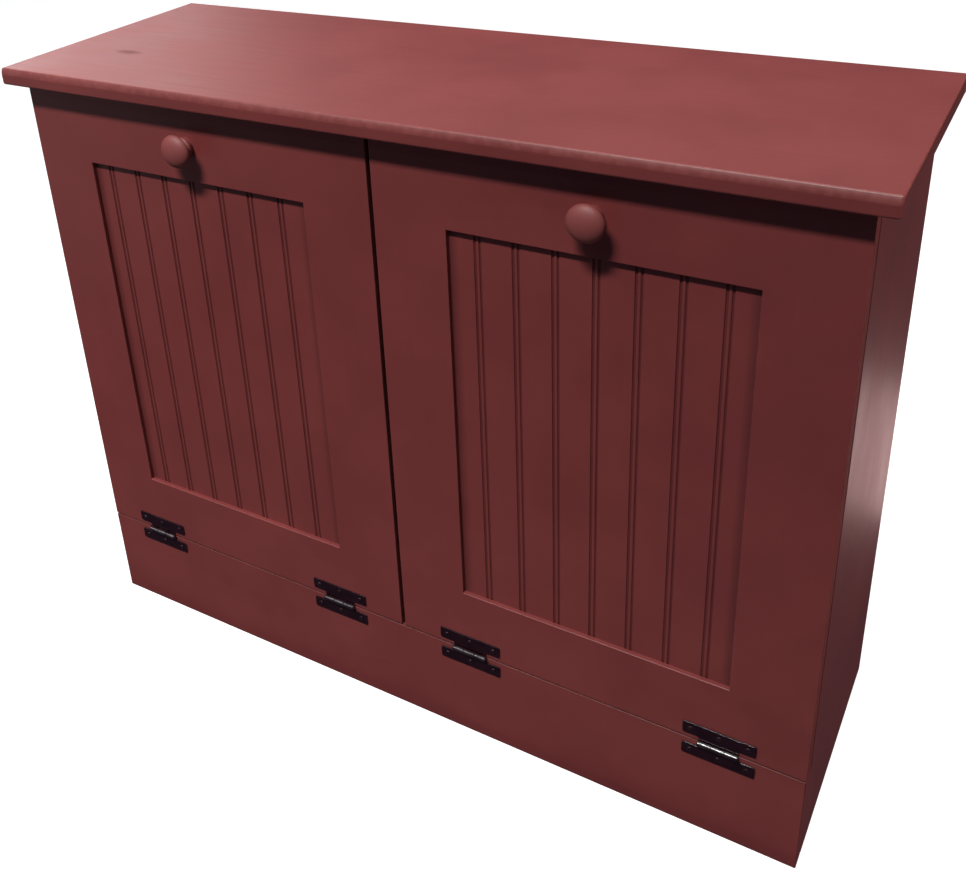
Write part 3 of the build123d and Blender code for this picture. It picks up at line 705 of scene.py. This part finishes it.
def build_apron():
    """The apron under the doors, eased along its front and at its ends."""
    low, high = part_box("base_apron")
    corners = rectangle(low.y, high.y, low.z, high.z)
    seam = low.y + 4 * APRON_EASE
    outline = rounded([*corners[:3], (seam, high.z), corners[3]], [EASE, 0, 0, 0, APRON_EASE])
    apron = prism(outline, "x", low.x, high.x, EASE, EASE)

    def gap(place):
        """Painted shade along the front of the top face, under the doors."""
        return 1.0 if place.z > high.z - TOUCH and place.y < seam - TOUCH else 0.0

    mark(apron, "gap", gap)
    dress("base_apron", apron, paint_x)


build_sides()
build_apron()

painted_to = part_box("centre_divider")[0].y + FRONT_PAINTED
coat("centre_divider", pine("z", (0, 0.2, 0), "pine_centre_divider", painted_to))

boards = ("front_stretcher", "rear_stretcher", "left_shelf", "right_shelf")
for number, node in enumerate(boards, start=1):
    shift = (0.37 * number, 0.11 * number + 0.2, 0.23 * number)
    dress(node, board(*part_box(node), "x", SMALL_EASE), pine("x", shift, f"pine_{node}"))

for node, shift in (("shelf_cleats", (0.5, 0.1, 0.9)), ("tilt_stop_blocks", (1.3, 0.6, 0.2))):
    pieces = [board(low, high, "y", SMALL_EASE) for low, high, _ in islands(node)]
    dress(node, merged(pieces), pine("y", shift, f"pine_{node}"))

coat("back_panel", plywood("back_plywood", "back_panel", "z", "y", (0.2, 0.9, 0.4), plies=3))
coat("back_panel_brads", zinc)


# Doors

PANEL_EASE, DOOR_EASE = 0.8 * MM, 0.8 * MM
DOOR_CORNER, OPENING_CORNER, HIDDEN_EDGE = 1.0 * MM, 0.5 * MM, 1.0 * MM
BEAD_CROWN, BEAD_STEPS, BEAD_SHARP = 0.45 * MM, 8, 50
GROOVE_RADIUS, GROOVE_WALL = 1.25 * MM, 0.2 * MM
CUT_CLEARANCE = 0.02 * MM
# The panel's painted shade beside the opening's upright walls fades out between these distances; the face has
# points at both.
CORNER_REACH = (3 * MM, 11 * MM)
STILE_EDGES = {"left": (("outer", 1), ("inner", 0)), "right": (("inner", 1), ("outer", 0))}


def frame_ring(outer, inner, thickness, groove, groove_depth):
    """A door's frame in one closed mesh: its section swept round the door's outline."""
    front, back = thickness
    groove_front, groove_back = groove
    section = [("outer", cut, front + along) for along, cut in quarter(DOOR_EASE)]
    section += [("outer", cut, back - along) for along, cut in reversed(quarter(JOINT_ROUND))]
    section.append(("outer", JOINT_ROUND + SMALL_EASE, back))
    opening = [(-SMALL_EASE, back), (0, back - SMALL_EASE), (0, groove_back)]
    opening += [(-groove_depth, groove_back), (-groove_depth, groove_front), (0, groove_front)]
    section += [("inner", cut, y) for cut, y in opening]
    section += [("inner", -along, front + cut) for along, cut in quarter(PANEL_EASE)]
    loops = []
    for which, cut, y in section:
        x0, x1, z0, z1 = outer if which == "outer" else inner
        radius = DOOR_CORNER if which == "outer" else OPENING_CORNER
        outline = rounded(rectangle(x0 + cut, x1 - cut, z0 + cut, z1 - cut), radius, steps=3)
        loops.append([Vector((p.x, y, p.y)) for p in outline])
    ring = skin(loops, ring=True)
    mark_edges(ring)
    edge = ring.verts.layers.float["edge"]
    for vert in ring.verts:
        if min(abs(vert.co.y - front), abs(vert.co.y - back)) < TOUCH:
            vert[edge] = 0.0
    inside = (outer[0] + JOINT_ROUND, outer[1] - JOINT_ROUND)

    def gap(place):
        """Painted shade where the back corner turns in against the case."""
        if inside[0] - NEAR < place.x < inside[1] + NEAR:
            return 0.0
        return share(GAP_SPREAD * (1 - (back - place.y) / JOINT_ROUND))

    mark(ring, "gap", gap)
    sanded = (outer[0] + NEAR, outer[1] - NEAR)
    mark(ring, "sanded", lambda place: 0.0 if sanded[0] < place.x < sanded[1] else 1.0)
    return ring


def cut_piece(whole, planes):
    """A copy of a mesh, cut and closed at each plane (point, direction of what is cut off)."""
    piece = whole.copy()
    for point, away in planes:
        geometry = piece.verts[:] + piece.edges[:] + piece.faces[:]
        plane = {"plane_co": point, "plane_no": away, "clear_outer": True}
        cut = bmesh.ops.bisect_plane(piece, geom=geometry, dist=2 * SAME_POINT, **plane)
        rim = [e for e in cut["geom_cut"] if isinstance(e, bmesh.types.BMEdge)]
        bmesh.ops.holes_fill(piece, edges=rim, sides=0)
    bmesh.ops.recalc_face_normals(piece, faces=piece.faces)
    return piece


def build_frame(side):
    """The stiles and rails of one door, cut from one ring so that their joints lie flush."""
    names = ("outer_stile", "inner_stile", "top_rail", "bottom_rail", "bead_panel")
    *stiles, top_rail, bottom_rail, panel = (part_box(f"{side}_door_{name}") for name in names)
    left_stile, right_stile = sorted(stiles, key=lambda span: span[0].x)
    panel_low, panel_high = panel
    outer = (left_stile[0].x, right_stile[1].x, left_stile[0].z, left_stile[1].z)
    inner = (left_stile[1].x, right_stile[0].x, bottom_rail[1].z, top_rail[0].z)
    groove = (panel_low.y, panel_high.y)
    depth = panel_high.x - inner[1]
    ring = frame_ring(outer, inner, (left_stile[0].y, left_stile[1].y), groove, depth)
    # The cuts lie just inside the opening, clear of its edges, which run along the stiles.
    left_cut = Vector((inner[0] + CUT_CLEARANCE, 0, 0))
    right_cut = Vector((inner[1] - CUT_CLEARANCE, 0, 0))
    middle = Vector((0, 0, (inner[2] + inner[3]) / 2))
    right, up = Vector((1, 0, 0)), Vector((0, 0, 1))
    for name, stile in zip(names, stiles):
        plane = (left_cut, right) if stile is left_stile else (right_cut, -right)
        dress(f"{side}_door_{name}", cut_piece(ring, [plane]), paint_z)
    for name, beyond in (("top_rail", -up), ("bottom_rail", up)):
        planes = [(left_cut, -right), (right_cut, right), (middle, beyond)]
        dress(f"{side}_door_{name}", cut_piece(ring, planes), paint_x)
    ring.free()


def groove(middle, before, after):
    """Points across one round groove, from the drop before it to the drop after it."""
    turns = [pi * step / BEAD_STEPS for step in range(BEAD_STEPS + 1)]
    hollow = [(middle - GROOVE_RADIUS * cos(a), GROOVE_WALL + GROOVE_RADIUS * sin(a)) for a in turns]
    return [(middle - GROOVE_RADIUS, before), *hollow, (middle + GROOVE_RADIUS, after)]


def build_bead_panel(side):
    """The panel's face: flat boards between pairs of round grooves, a low bead in each pair."""
    node = f"{side}_door_bead_panel"
    low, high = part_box(node)
    grooves = groove_places(node)
    deepest = GROOVE_WALL + GROOVE_RADIUS
    opening = sorted(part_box(f"{side}_door_{stile}_stile")[end].x for stile, end in STILE_EDGES[side])
    face = [(low.x, 0.0)] + [(opening[0] + reach, 0.0) for reach in CORNER_REACH]
    for left, right in zip(grooves[::2], grooves[1::2]):
        start, width = left + GROOVE_RADIUS, right - left - 2 * GROOVE_RADIUS
        parts = [step / BEAD_STEPS for step in range(1, BEAD_STEPS)]
        face += groove(left, 0.0, BEAD_CROWN)
        face += [(start + width * part, BEAD_CROWN * (2 * part - 1) ** 2) for part in parts]
        face += groove(right, BEAD_CROWN, 0.0)
    face += [(opening[1] - reach, 0.0) for reach in reversed(CORNER_REACH)]
    face.append((high.x, 0.0))
    outline = [Vector((x, low.y + depth)) for x, depth in face]
    outline += [Vector((high.x, high.y)), Vector((low.x, high.y))]
    panel = prism(outline, "z", low.z, high.z)
    panel.verts.layers.float.new("edge")
    # Painted shade in the grooves, darkest at their floors.
    hollow = panel.verts.layers.float.new("hollow")
    for vert in panel.verts:
        depth = vert.co.y - low.y
        if low.x + HIDDEN_EDGE < vert.co.x < high.x - HIDDEN_EDGE:
            vert[hollow] = share((depth - BEAD_CROWN) / (deepest - BEAD_CROWN))

    def corner(place):
        """Painted shade, darker on the panel beside the upright walls of the opening."""
        reach = min(place.x - opening[0], opening[1] - place.x)
        return share((CORNER_REACH[1] - reach) / (CORNER_REACH[1] - CORNER_REACH[0]))

    mark(panel, "corner", corner)
    dress(node, panel, paint_z, BEAD_SHARP)


KNOB_FOOT, KNOB_SHOULDER, KNOB_NECK = 10.6 * MM, 12.2 * MM, 9.8 * MM
KNOB_SHOULDER_HEIGHT, KNOB_NECK_HEIGHT, KNOB_CROWN = 6.5 * MM, 10.2 * MM, 9.0 * MM
KNOB_SIDES, KNOB_HEAD_STEPS, KNOB_CROWN_STEPS, KNOB_SHARP = 64, 12, 14, 80


def swell(start, end, steps=8):
    """Points of an S curve from one (radius, height) to the next, upright at both ends."""
    points = []
    for step in range(1, steps + 1):
        part = step / steps
        ease = part * part * (3 - 2 * part)
        points.append((start[0] + (end[0] - start[0]) * ease, start[1] + (end[1] - start[1]) * part))
    return points


def build_knob(side):
    """The turned knob: a foot with a rounded shoulder, a neck and a domed head."""
    low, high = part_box(f"{side}_knob")
    radius, projection = (high.x - low.x) / 2, high.y - low.y
    foot, shoulder = (KNOB_FOOT, 0), (KNOB_SHOULDER, KNOB_SHOULDER_HEIGHT)
    neck, rim = (KNOB_NECK, KNOB_NECK_HEIGHT), (radius, projection - KNOB_CROWN)
    profile = [(0, 0), foot] + swell(foot, shoulder) + swell(shoulder, neck)
    profile += swell(neck, rim, KNOB_HEAD_STEPS)
    for angle in quarter_turn(KNOB_CROWN_STEPS)[1:]:
        profile.append((radius * cos(angle), rim[1] + KNOB_CROWN * sin(angle)))
    centre = Vector(((low.x + high.x) / 2, high.y, (low.z + high.z) / 2))
    turned = lathe(profile, centre, (0, -1, 0), KNOB_SIDES)
    dress(f"{side}_knob", turned, paint_knob, KNOB_SHARP)


for side in ("left", "right"):
    build_frame(side)
    build_bead_panel(side)
    build_knob(side)


# Screws


# Pairs of radius and height: the point's in shank radii, the head's as shares of the head.
SCREW_SIDES = 40
SCREW_POINT = ((0.12, 0), (0.8, 2.4), (1, 3.4))
SCREW_HEAD = [(0.97, 0), (1, 0.12), (0.985, 0.42), (0.93, 0.66)]
SCREW_HEAD += [(0.84, 0.82), (0.72, 0.93), (0.62, 0.98)]
SLOT_REACH, SLOT_WIDTH, SLOT_DEPTH = 0.56, 0.13, 0.7
SLOT_FLOOR_REACH, SLOT_FLOOR_WIDTH = 0.8 * SLOT_REACH, 0.75 * SLOT_WIDTH


def cross(half_length, half_width):
    """The reach of a cross-shaped outline at each of a screw's even angles."""
    reaches = []
    for angle in full_turn(SCREW_SIDES):
        c, s = max(abs(cos(angle)), TINY), max(abs(sin(angle)), TINY)
        wide = min(half_length / c, half_width / s)
        tall = min(half_width / c, half_length / s)
        reaches.append(max(wide, tall))
    return reaches


def screw(seat, outward, head_radius, head_height, shank_radius, length):
    """A cross-head screw: a domed head with its recess, and a pointed shank behind the seat."""
    profile = [(shank_radius * r, shank_radius * h - length) for r, h in SCREW_POINT]
    profile.append((shank_radius, 0))
    profile += [(head_radius * r, head_height * h) for r, h in SCREW_HEAD]
    profile.append((cross(SLOT_REACH * head_radius, SLOT_WIDTH * head_radius), head_height))
    floor = cross(SLOT_FLOOR_REACH * head_radius, SLOT_FLOOR_WIDTH * head_radius)
    profile.append((floor, head_height * (1 - SLOT_DEPTH)))
    return lathe(profile, seat, outward, SCREW_SIDES)


def screws_of(node):
    """The screws of a node, read from its solids: where each head sits and how large it is."""
    found = []
    for low, high, points in islands(node):
        size = high - low
        axis = max(range(3), key=lambda i: size[i])
        others = [i for i in range(3) if i != axis]
        middle = (low + high) / 2

        def radius(group):
            return max(hypot(*(p[i] - middle[i] for i in others)) for p in group)

        ends = {}
        for way, end in ((-1, low[axis]), (1, high[axis])):
            ends[way] = [p for p in points if abs(p[axis] - end) < TOUCH]
        direction = max(ends, key=lambda way: radius(ends[way]))
        head_radius, shank_radius = radius(ends[direction]), radius(ends[-direction])
        tip = high[axis] if direction > 0 else low[axis]
        shank = [p for p in points if radius([p]) < (head_radius + shank_radius) / 2]
        seat_at = max((p[axis] * direction for p in shank)) * direction
        seat = middle.copy()
        seat[axis] = seat_at
        outward = Vector((0, 0, 0))
        outward[axis] = direction
        head_height = abs(tip - seat_at)
        found.append((seat, outward, head_radius, head_height, shank_radius, size[axis] - head_height))
    return found


for node in nodes:
    if "screw" in node:
        metal = screw_iron if "hinge" in node else zinc
        dress(node, merged([screw(*place) for place in screws_of(node)]), metal)


# Hinges

LEAF_THICKNESS, LEAF_CORNER, BAR_HEIGHT, WEB_CORNER = 1.3 * MM, 2.0 * MM, 14.5 * MM, 0.8 * MM
LEAF_RIM, WEB_CLEARANCE, WEB_OVERLAP = 0.3 * MM, 0.6 * MM, 0.5 * MM
KNUCKLE_LENGTH, KNUCKLE_GAP, KNUCKLE_RIM = 41 * MM, 0.25 * MM, 0.12 * MM
KNUCKLE_BORE, KNUCKLE_TURN, KNUCKLE_STEPS = 1.6 * MM, radians(318), 30
PIN_RADIUS, PIN_HEAD_HEIGHT, PIN_SIDES = 1.5 * MM, 1.0 * MM, 24
# Pairs of radius and height, as shares of the head's.
PIN_DOME = ((0, 0), (0.45, 0.03), (0.8, 0.3), (1, 0.85), (1, 1))
# Where the painted highlight lies on each barrel: its turn up from straight ahead, its width, and its gap at the
# knuckles' ends.
CREST_TURN, CREST_WIDTH, CREST_END = radians(50), radians(19), 1.2 * MM
BARREL_SLACK = 0.1
pins = islands("hinge_pins")


def curl(pin, direction, face_y, plate_from):
    """The section of a knuckle: the leaf's sheet stepping out and rolled round the pin."""
    centre_y, centre_z, inner_radius, outer_radius = pin
    line_radius, half = (inner_radius + outer_radius) / 2, (outer_radius - inner_radius) / 2
    path = [(face_y - LEAF_THICKNESS / 2, plate_from, (-1.0, 0.0))]
    path.append((face_y - LEAF_THICKNESS / 2, plate_from - WEB_CORNER, (-1.0, 0.0)))
    for step in range(KNUCKLE_STEPS + 1):
        angle = KNUCKLE_TURN * step / KNUCKLE_STEPS
        y = centre_y + line_radius * cos(angle)
        z = -line_radius * sin(angle)
        path.append((y, z, (-cos(angle), sin(angle))))
    left = [Vector((y + n[0] * half, centre_z + direction * (z + n[1] * half))) for y, z, n in path]
    right = [Vector((y - n[0] * half, centre_z + direction * (z - n[1] * half))) for y, z, n in path]
    return left + right[::-1]


def build_leaf(number, direction):
    """One leaf of an H hinge: a bar, a web and its knuckles rolled round the pin."""
    node = f"hinge_{number}_{'door' if direction > 0 else 'base'}_leaf"
    low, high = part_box(node)
    pin_low, pin_high, _ = pins[number - 1]
    middle = (low.x + high.x) / 2
    centre_y, centre_z = (pin_low.y + pin_high.y) / 2, (pin_low.z + pin_high.z) / 2
    face_y = high.y
    outer_radius = centre_y - low.y
    edge = high.z if direction > 0 else low.z
    bar_inner = edge - direction * BAR_HEIGHT
    web_edge = centre_z + direction * (outer_radius + WEB_CLEARANCE)
    half_bar, half_web = (high.x - low.x) / 2, KNUCKLE_LENGTH / 2
    half = [(half_bar, edge), (half_bar, bar_inner), (half_web, bar_inner), (half_web, web_edge)]
    radii = [LEAF_CORNER, LEAF_CORNER, WEB_CORNER, 0]
    points = [(middle - x, z) for x, z in half] + [(middle + x, z) for x, z in reversed(half)]
    outline = rounded(points, radii + radii[::-1])
    parts = [prism(outline, "y", face_y, face_y - LEAF_THICKNESS, 0, LEAF_RIM)]
    joint, gap = KNUCKLE_LENGTH / 6, KNUCKLE_GAP / 2
    if direction > 0:
        spans = [(-joint + gap, joint - gap)]
    else:
        spans = [(-half_web, -joint - gap), (joint + gap, half_web)]
    pin = (centre_y, centre_z, KNUCKLE_BORE, outer_radius)
    section = curl(pin, direction, face_y, outer_radius + WEB_CLEARANCE + WEB_OVERLAP)
    for start, end in spans:
        start, end = middle + start, middle + end
        between = (start + CREST_END, end - CREST_END)
        parts.append(prism(section, "x", start, end, KNUCKLE_RIM, KNUCKLE_RIM, between))
    leaf = merged(parts)
    ends = [middle + end for span in spans for end in span]
    # The painted highlight lies where the barrel faces up and forward.
    crest = Vector((0, -cos(CREST_TURN), sin(CREST_TURN)))

    def turned(place):
        """One along the barrel's crest, where the painted highlight of bright steel lies."""
        spoke = Vector((0, place.y - centre_y, place.z - centre_z))
        if abs(spoke.length / outer_radius - 1) > BARREL_SLACK:
            return 0.0
        if min(abs(place.x - end) for end in ends) < CREST_END / 2:
            return 0.0
        return max(0.0, 1 - spoke.angle(crest) / CREST_WIDTH)

    mark(leaf, "turned", turned)
    dress(node, leaf, iron)


def build_pins():
    """The hinge pins, each with a domed head at both ends."""
    parts = []
    for low, high, _ in pins:
        centre = Vector((low.x, (low.y + high.y) / 2, (low.z + high.z) / 2))
        length = high.x - low.x
        head = (high.z - low.z) / 2
        profile = [(r * head, h * PIN_HEAD_HEIGHT) for r, h in PIN_DOME]
        profile.append((PIN_RADIUS, PIN_HEAD_HEIGHT))
        profile += [(r, length - h) for r, h in reversed(profile)]
        parts.append(lathe(profile, centre, (1, 0, 0), PIN_SIDES))
    dress("hinge_pins", merged(parts), iron)


for number in range(1, len(pins) + 1):
    build_leaf(number, 1)
    build_leaf(number, -1)
build_pins()


# Catches and strike plates


CATCH_EASE, EAR_ROUND, EAR_RIM, EAR_STEP = 0.9 * MM, 3.5 * MM, 0.4 * MM, 1 * MM
PLATE_ROUND, PLATE_RIM = 3 * MM, 0.25 * MM


def build_catches():
    """The magnetic catches, each a case with ears."""
    cases = []
    for low, high, points in islands("magnetic_catches"):
        ear = min(p.z for p in points if p.x < low.x + EAR_STEP)
        xs = [p.x for p in points if p.z < ear - EAR_STEP]
        cases.append(board((min(xs), low.y, low.z), (max(xs), high.y, high.z), "x", CATCH_EASE))
        outline = rounded(rectangle(low.x, high.x, low.y, high.y), EAR_ROUND)
        cases.append(prism(outline, "z", ear, high.z, EAR_RIM, 0))
    dress("magnetic_catches", merged(cases), ivory)


build_catches()
for side in ("left", "right"):
    node = f"{side}_strike_plate"
    low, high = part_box(node)
    outline = rounded(rectangle(low.x, high.x, low.z, high.z), PLATE_ROUND)
    dress(node, prism(outline, "y", low.y, high.y, 0, PLATE_RIM), zinc)


# Bin carriers

CARRIER_EASE, ARM_HEEL, ARM_SHOULDER = 1.0 * MM, 6 * MM, 8 * MM
BRACKET_SHEET, BRACKET_RIM = 1.5 * MM, 0.25 * MM
BRACKET_ROUNDS = (2.2 * MM, 0.3 * MM, 0.3 * MM, 0.8 * MM, 0.3 * MM, 0.3 * MM)


def build_carrier(side, shift):
    """The plywood arms, floor and slat of one carrier, and its steel brackets."""
    for arm in ("outer", "inner"):
        node = f"{side}_carrier_{arm}_arm"
        low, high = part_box(node)
        back_top = high.z - (high.y - low.y) * tan(tilt)
        points = [(low.y, low.z), (high.y, low.z), (high.y, back_top), (low.y, high.z)]
        outline = rounded(points, [CARRIER_EASE, ARM_HEEL, ARM_SHOULDER, CARRIER_EASE])
        wood = plywood(f"ply_{node}", node, "z", "x", (shift, 0.3, 0.8 * shift))
        dress(node, prism(outline, "x", low.x, high.x, CARRIER_EASE, CARRIER_EASE), wood)
    for piece, thick in (("floor", "z"), ("back_slat", "y")):
        node = f"{side}_carrier_{piece}"
        wood = plywood(f"ply_{node}", node, "x", thick, (0.4, shift, 0.6))
        dress(node, board(*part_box(node), "x", SMALL_EASE), wood)
    node = f"{side}_carrier_brackets"
    parts = []
    for low, high, points in islands(node):
        # The leg along the arm is the one that reaches the far end in y.
        far = [p.x for p in points if p.y > high.y - NEAR]
        arm_x = sum(far) / len(far)
        x_arm, x_free = sorted((low.x, high.x), key=lambda x: abs(arm_x - x))
        into = 1 if x_free > x_arm else -1
        x_sheet, y_sheet = x_arm + into * BRACKET_SHEET, low.y + BRACKET_SHEET
        points = [(x_arm, low.y), (x_free, low.y), (x_free, y_sheet)]
        points += [(x_sheet, y_sheet), (x_sheet, high.y), (x_arm, high.y)]
        outline = rounded(points, BRACKET_ROUNDS)
        parts.append(prism(outline, "z", low.z, high.z, BRACKET_RIM, BRACKET_RIM))
    dress(node, merged(parts), zinc)


build_carrier("left", 0.7)
build_carrier("right", 1.9)


# Bins

BIN_WALL, BIN_RIM, BIN_RIM_DROP = 2.2 * MM, 9 * MM, 12 * MM
BIN_CORNER, BIN_BASE_ROUND, BIN_TAPER = 32 * MM, 9 * MM, 15 * MM
BAND_DROP, BAND_HEIGHT, BAND_STEP, BAND_RAMP = 70 * MM, 8 * MM, 0.9 * MM, 1 * MM
LIP_BEND, LIP_EASE = 3 * MM, 0.8 * MM
BIN_CORNER_STEPS, BASE_STEPS, LIP_STEPS, BIN_SHARP = 10, 6, 5, 60
# How far under the lip, and how far out from the wall.
LIP_FILLET = ((3 * MM, 0), (1 * MM, 0.5 * MM), (0, 2 * MM))


def build_bin(side):
    """A tapered bin with rounded lower edges, a moulded band and a rim rolled outwards."""
    low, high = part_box(f"{side}_bin")
    middle = (low + high) / 2
    top_x, top_y = (high.x - low.x) / 2 - BIN_RIM, (high.y - low.y) / 2 - BIN_RIM
    height = high.z - low.z

    def loop(rise, grow):
        """The wall's outline at a height above the bin's base, grown outwards by grow."""
        taper = BIN_TAPER * (1 - rise / height)
        x, y = top_x - taper + grow, top_y - taper + grow
        outline = rounded(rectangle(-x, x, -y, y), BIN_CORNER + grow, BIN_CORNER_STEPS)
        return [Vector((middle.x + p.x, middle.y + p.y, low.z + rise)) for p in outline]

    places = [(rise, -cut) for rise, cut in quarter(BIN_BASE_ROUND, BASE_STEPS)]
    band = height - BAND_DROP
    places += [(band - BAND_HEIGHT - BAND_RAMP, 0), (band - BAND_HEIGHT, BAND_STEP)]
    places += [(band, BAND_STEP), (band + BAND_RAMP, 0)]
    under, inside_lip = height - BIN_WALL, BIN_RIM - BIN_WALL
    places += [(under - drop, grow) for drop, grow in LIP_FILLET]
    places += [(under, inside_lip - LIP_EASE), (under - LIP_EASE, inside_lip)]
    places += [(height - BIN_RIM_DROP, inside_lip), (height - BIN_RIM_DROP, BIN_RIM)]
    places += [(height - drop, BIN_RIM - back) for back, drop in quarter(LIP_BEND, LIP_STEPS)]
    places += [(height - drop, -BIN_WALL + back) for drop, back in quarter(LIP_BEND, LIP_STEPS)]
    inner = quarter(BIN_BASE_ROUND - BIN_WALL, BASE_STEPS)
    places += [(BIN_WALL + rise, -BIN_WALL - back) for back, rise in inner]
    dress(f"{side}_bin", skin([loop(*place) for place in places]), plastic, BIN_SHARP)


build_bin("left")
build_bin("right")


# Studio


FLOOR_REACH, FLOOR_BEND, BACKDROP_TOP, DOME_TOP = 5.0, 3.0, 8.0, 11.0
FLOOR_SIDES, FLOOR_BEND_STEPS, FLOOR_GLOW = 96, 8, 0.97
FLOOR_DARK, FLOOR_LIGHT = (0.30, 0.30, 0.30, 1), (0.32, 0.32, 0.32, 1)


def build_studio():
    """A pale floor that curves up into a backdrop far behind everything."""
    profile = [(0.0, 0.0), (FLOOR_REACH, 0.0)]
    for angle in quarter_turn(FLOOR_BEND_STEPS)[1:]:
        profile.append((FLOOR_REACH + FLOOR_BEND * sin(angle), FLOOR_BEND * (1 - cos(angle))))
    profile += [(FLOOR_REACH + FLOOR_BEND, BACKDROP_TOP), (0.0, DOME_TOP)]
    finish = Finish("pale_floor")
    speckle = finish.noise(40, detail=3)
    finish.set(Base_Color=finish.over(FLOOR_DARK, FLOOR_LIGHT, speckle, 0.3, 0.7))
    finish.set(Roughness=0.9, Specular_IOR_Level=0.0)
    finish.set(Emission_Color=(1, 1, 1, 1), Emission_Strength=FLOOR_GLOW)
    shell = lathe(profile, (0, 0, -NEAR), (0, 0, 1), FLOOR_SIDES)
    studio = smooth_piece("studio", shell, finish.material)
    studio.visible_diffuse = False
    studio.visible_glossy = False
    studio.visible_shadow = False


def light(name, place, aim, size, power, tint=(1, 1, 1), diffuse=True, glossy=True, spread=180):
    """A soft rectangular light at a place, turned towards a point."""
    data = bpy.data.lights.new(name, "AREA")
    data.shape = "RECTANGLE"
    data.size, data.size_y = size
    data.energy = power
    data.color = tint
    data.spread = radians(spread)
    lamp = shown(name, data)
    lamp.location = place
    lamp.rotation_euler = (Vector(aim) - Vector(place)).to_track_quat("-Z", "Y").to_euler()
    lamp.visible_camera = False
    lamp.visible_diffuse = diffuse
    lamp.visible_glossy = glossy


build_studio()
face_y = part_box("base_apron")[0].y
KEY_AIM, SIDE_AIM = (-0.8, face_y, -1.0), (-0.2, 0.0, 0.75)
light("key", (-0.65, face_y - 3.2, 5.93), KEY_AIM, (2.2, 0.5), 54.3, (0.943, 1.0, 0.99), spread=50)
light("overhead", (0.1, 0.95, 2.6), (0.0, 0.1, 0.75), (2.2, 1.0), 30.6, (1.0, 0.76, 0.72))
light("window", (-1.99, 1.15, 1.97), (0.0, 0.05, 0.75), (1.8, 1.1), 5.8, (0.98, 0.78, 0.72))
light("window_far", (-2.5, 1.5, 1.41), SIDE_AIM, (1.4, 0.7), 9.4, (1.0, 0.82, 0.82), diffuse=False)
light("window_near", (-2.3, 0.7, 1.3), SIDE_AIM, (1.2, 0.7), 6.2, (1.0, 0.75, 0.75), diffuse=False)
card, card_aim = (-0.95, face_y - 0.35, 0.6), (-0.35, face_y, 0.5)
light("left_card", card, card_aim, (0.5, 0.8), 0.37, (1.0, 0.77, 0.74))
fill, fill_aim = (2.6, 0.9, 1.2), (0.45, 0.0, 0.4)
light("right_fill", fill, fill_aim, (1.6, 1.2), 32.6, (0.926, 1.0, 0.824), glossy=False)
for x, power, tint in ((-0.4, 0.23, (0.91, 1.0, 0.87)), (0.4, 0.382, (1.0, 0.9, 0.71))):
    floor = (x, face_y - 0.22, 0.01)
    light("floor_bounce", floor, (*floor[:2], 1.0), (0.8, 0.4), power, tint, glossy=False)
patch = (0.6, face_y + 0.765)
light("floor_patch", (*patch, 0.02), (*patch, 1.0), (0.5, 0.36), 1.25, (1.0, 0.69, 0.67), diffuse=False)

glint = (-0.95, face_y - 1.2, 1.75)
light("glint", glint, (glint[0], face_y, 0.12), (2.6, 0.07), 6.0, (1.0, 0.95, 0.96), diffuse=False)

AIR_TINT, AIR_STRENGTH = (0.8, 0.87, 1.21, 1), 0.058
world = bpy.data.worlds.new("studio_air")
world.use_nodes = True
background = world.node_tree.nodes["Background"]
background.inputs["Color"].default_value = AIR_TINT
background.inputs["Strength"].default_value = AIR_STRENGTH
scene.world = world
scene.view_settings.view_transform = "Standard"


# Camera, where the photograph was taken from

HEADING, PITCH, ROLL = radians(32.605), radians(25.162), radians(-3.673)
SENSOR, LENS = 36.0, 42.472
SHIFT_X, SHIFT_Y = 0.0756, -0.1946
CAMERA_X, CAMERA_BEFORE_FACE, CAMERA_HEIGHT = 0.5773, 0.8371, 1.0824
FARTHEST = 60


def build_camera():
    """A camera at the photograph's place, turned and shifted as its framing needs."""
    data = bpy.data.cameras.new("camera")
    data.sensor_width = SENSOR
    data.lens = LENS
    data.shift_x, data.shift_y = SHIFT_X, SHIFT_Y
    data.clip_end = FARTHEST
    camera = shown("camera", data)
    ahead = Vector((-sin(HEADING) * cos(PITCH), cos(HEADING) * cos(PITCH), -sin(PITCH)))
    level = ahead.cross(Vector((0, 0, 1))).normalized()
    upright = level.cross(ahead)
    right = level * cos(ROLL) + upright * sin(ROLL)
    up = upright * cos(ROLL) - level * sin(ROLL)
    place = Vector((CAMERA_X, face_y - CAMERA_BEFORE_FACE, CAMERA_HEIGHT))
    turn = Matrix((right, up, -ahead)).transposed()
    camera.matrix_world = Matrix.Translation(place) @ turn.to_4x4()
    scene.camera = camera


build_camera()
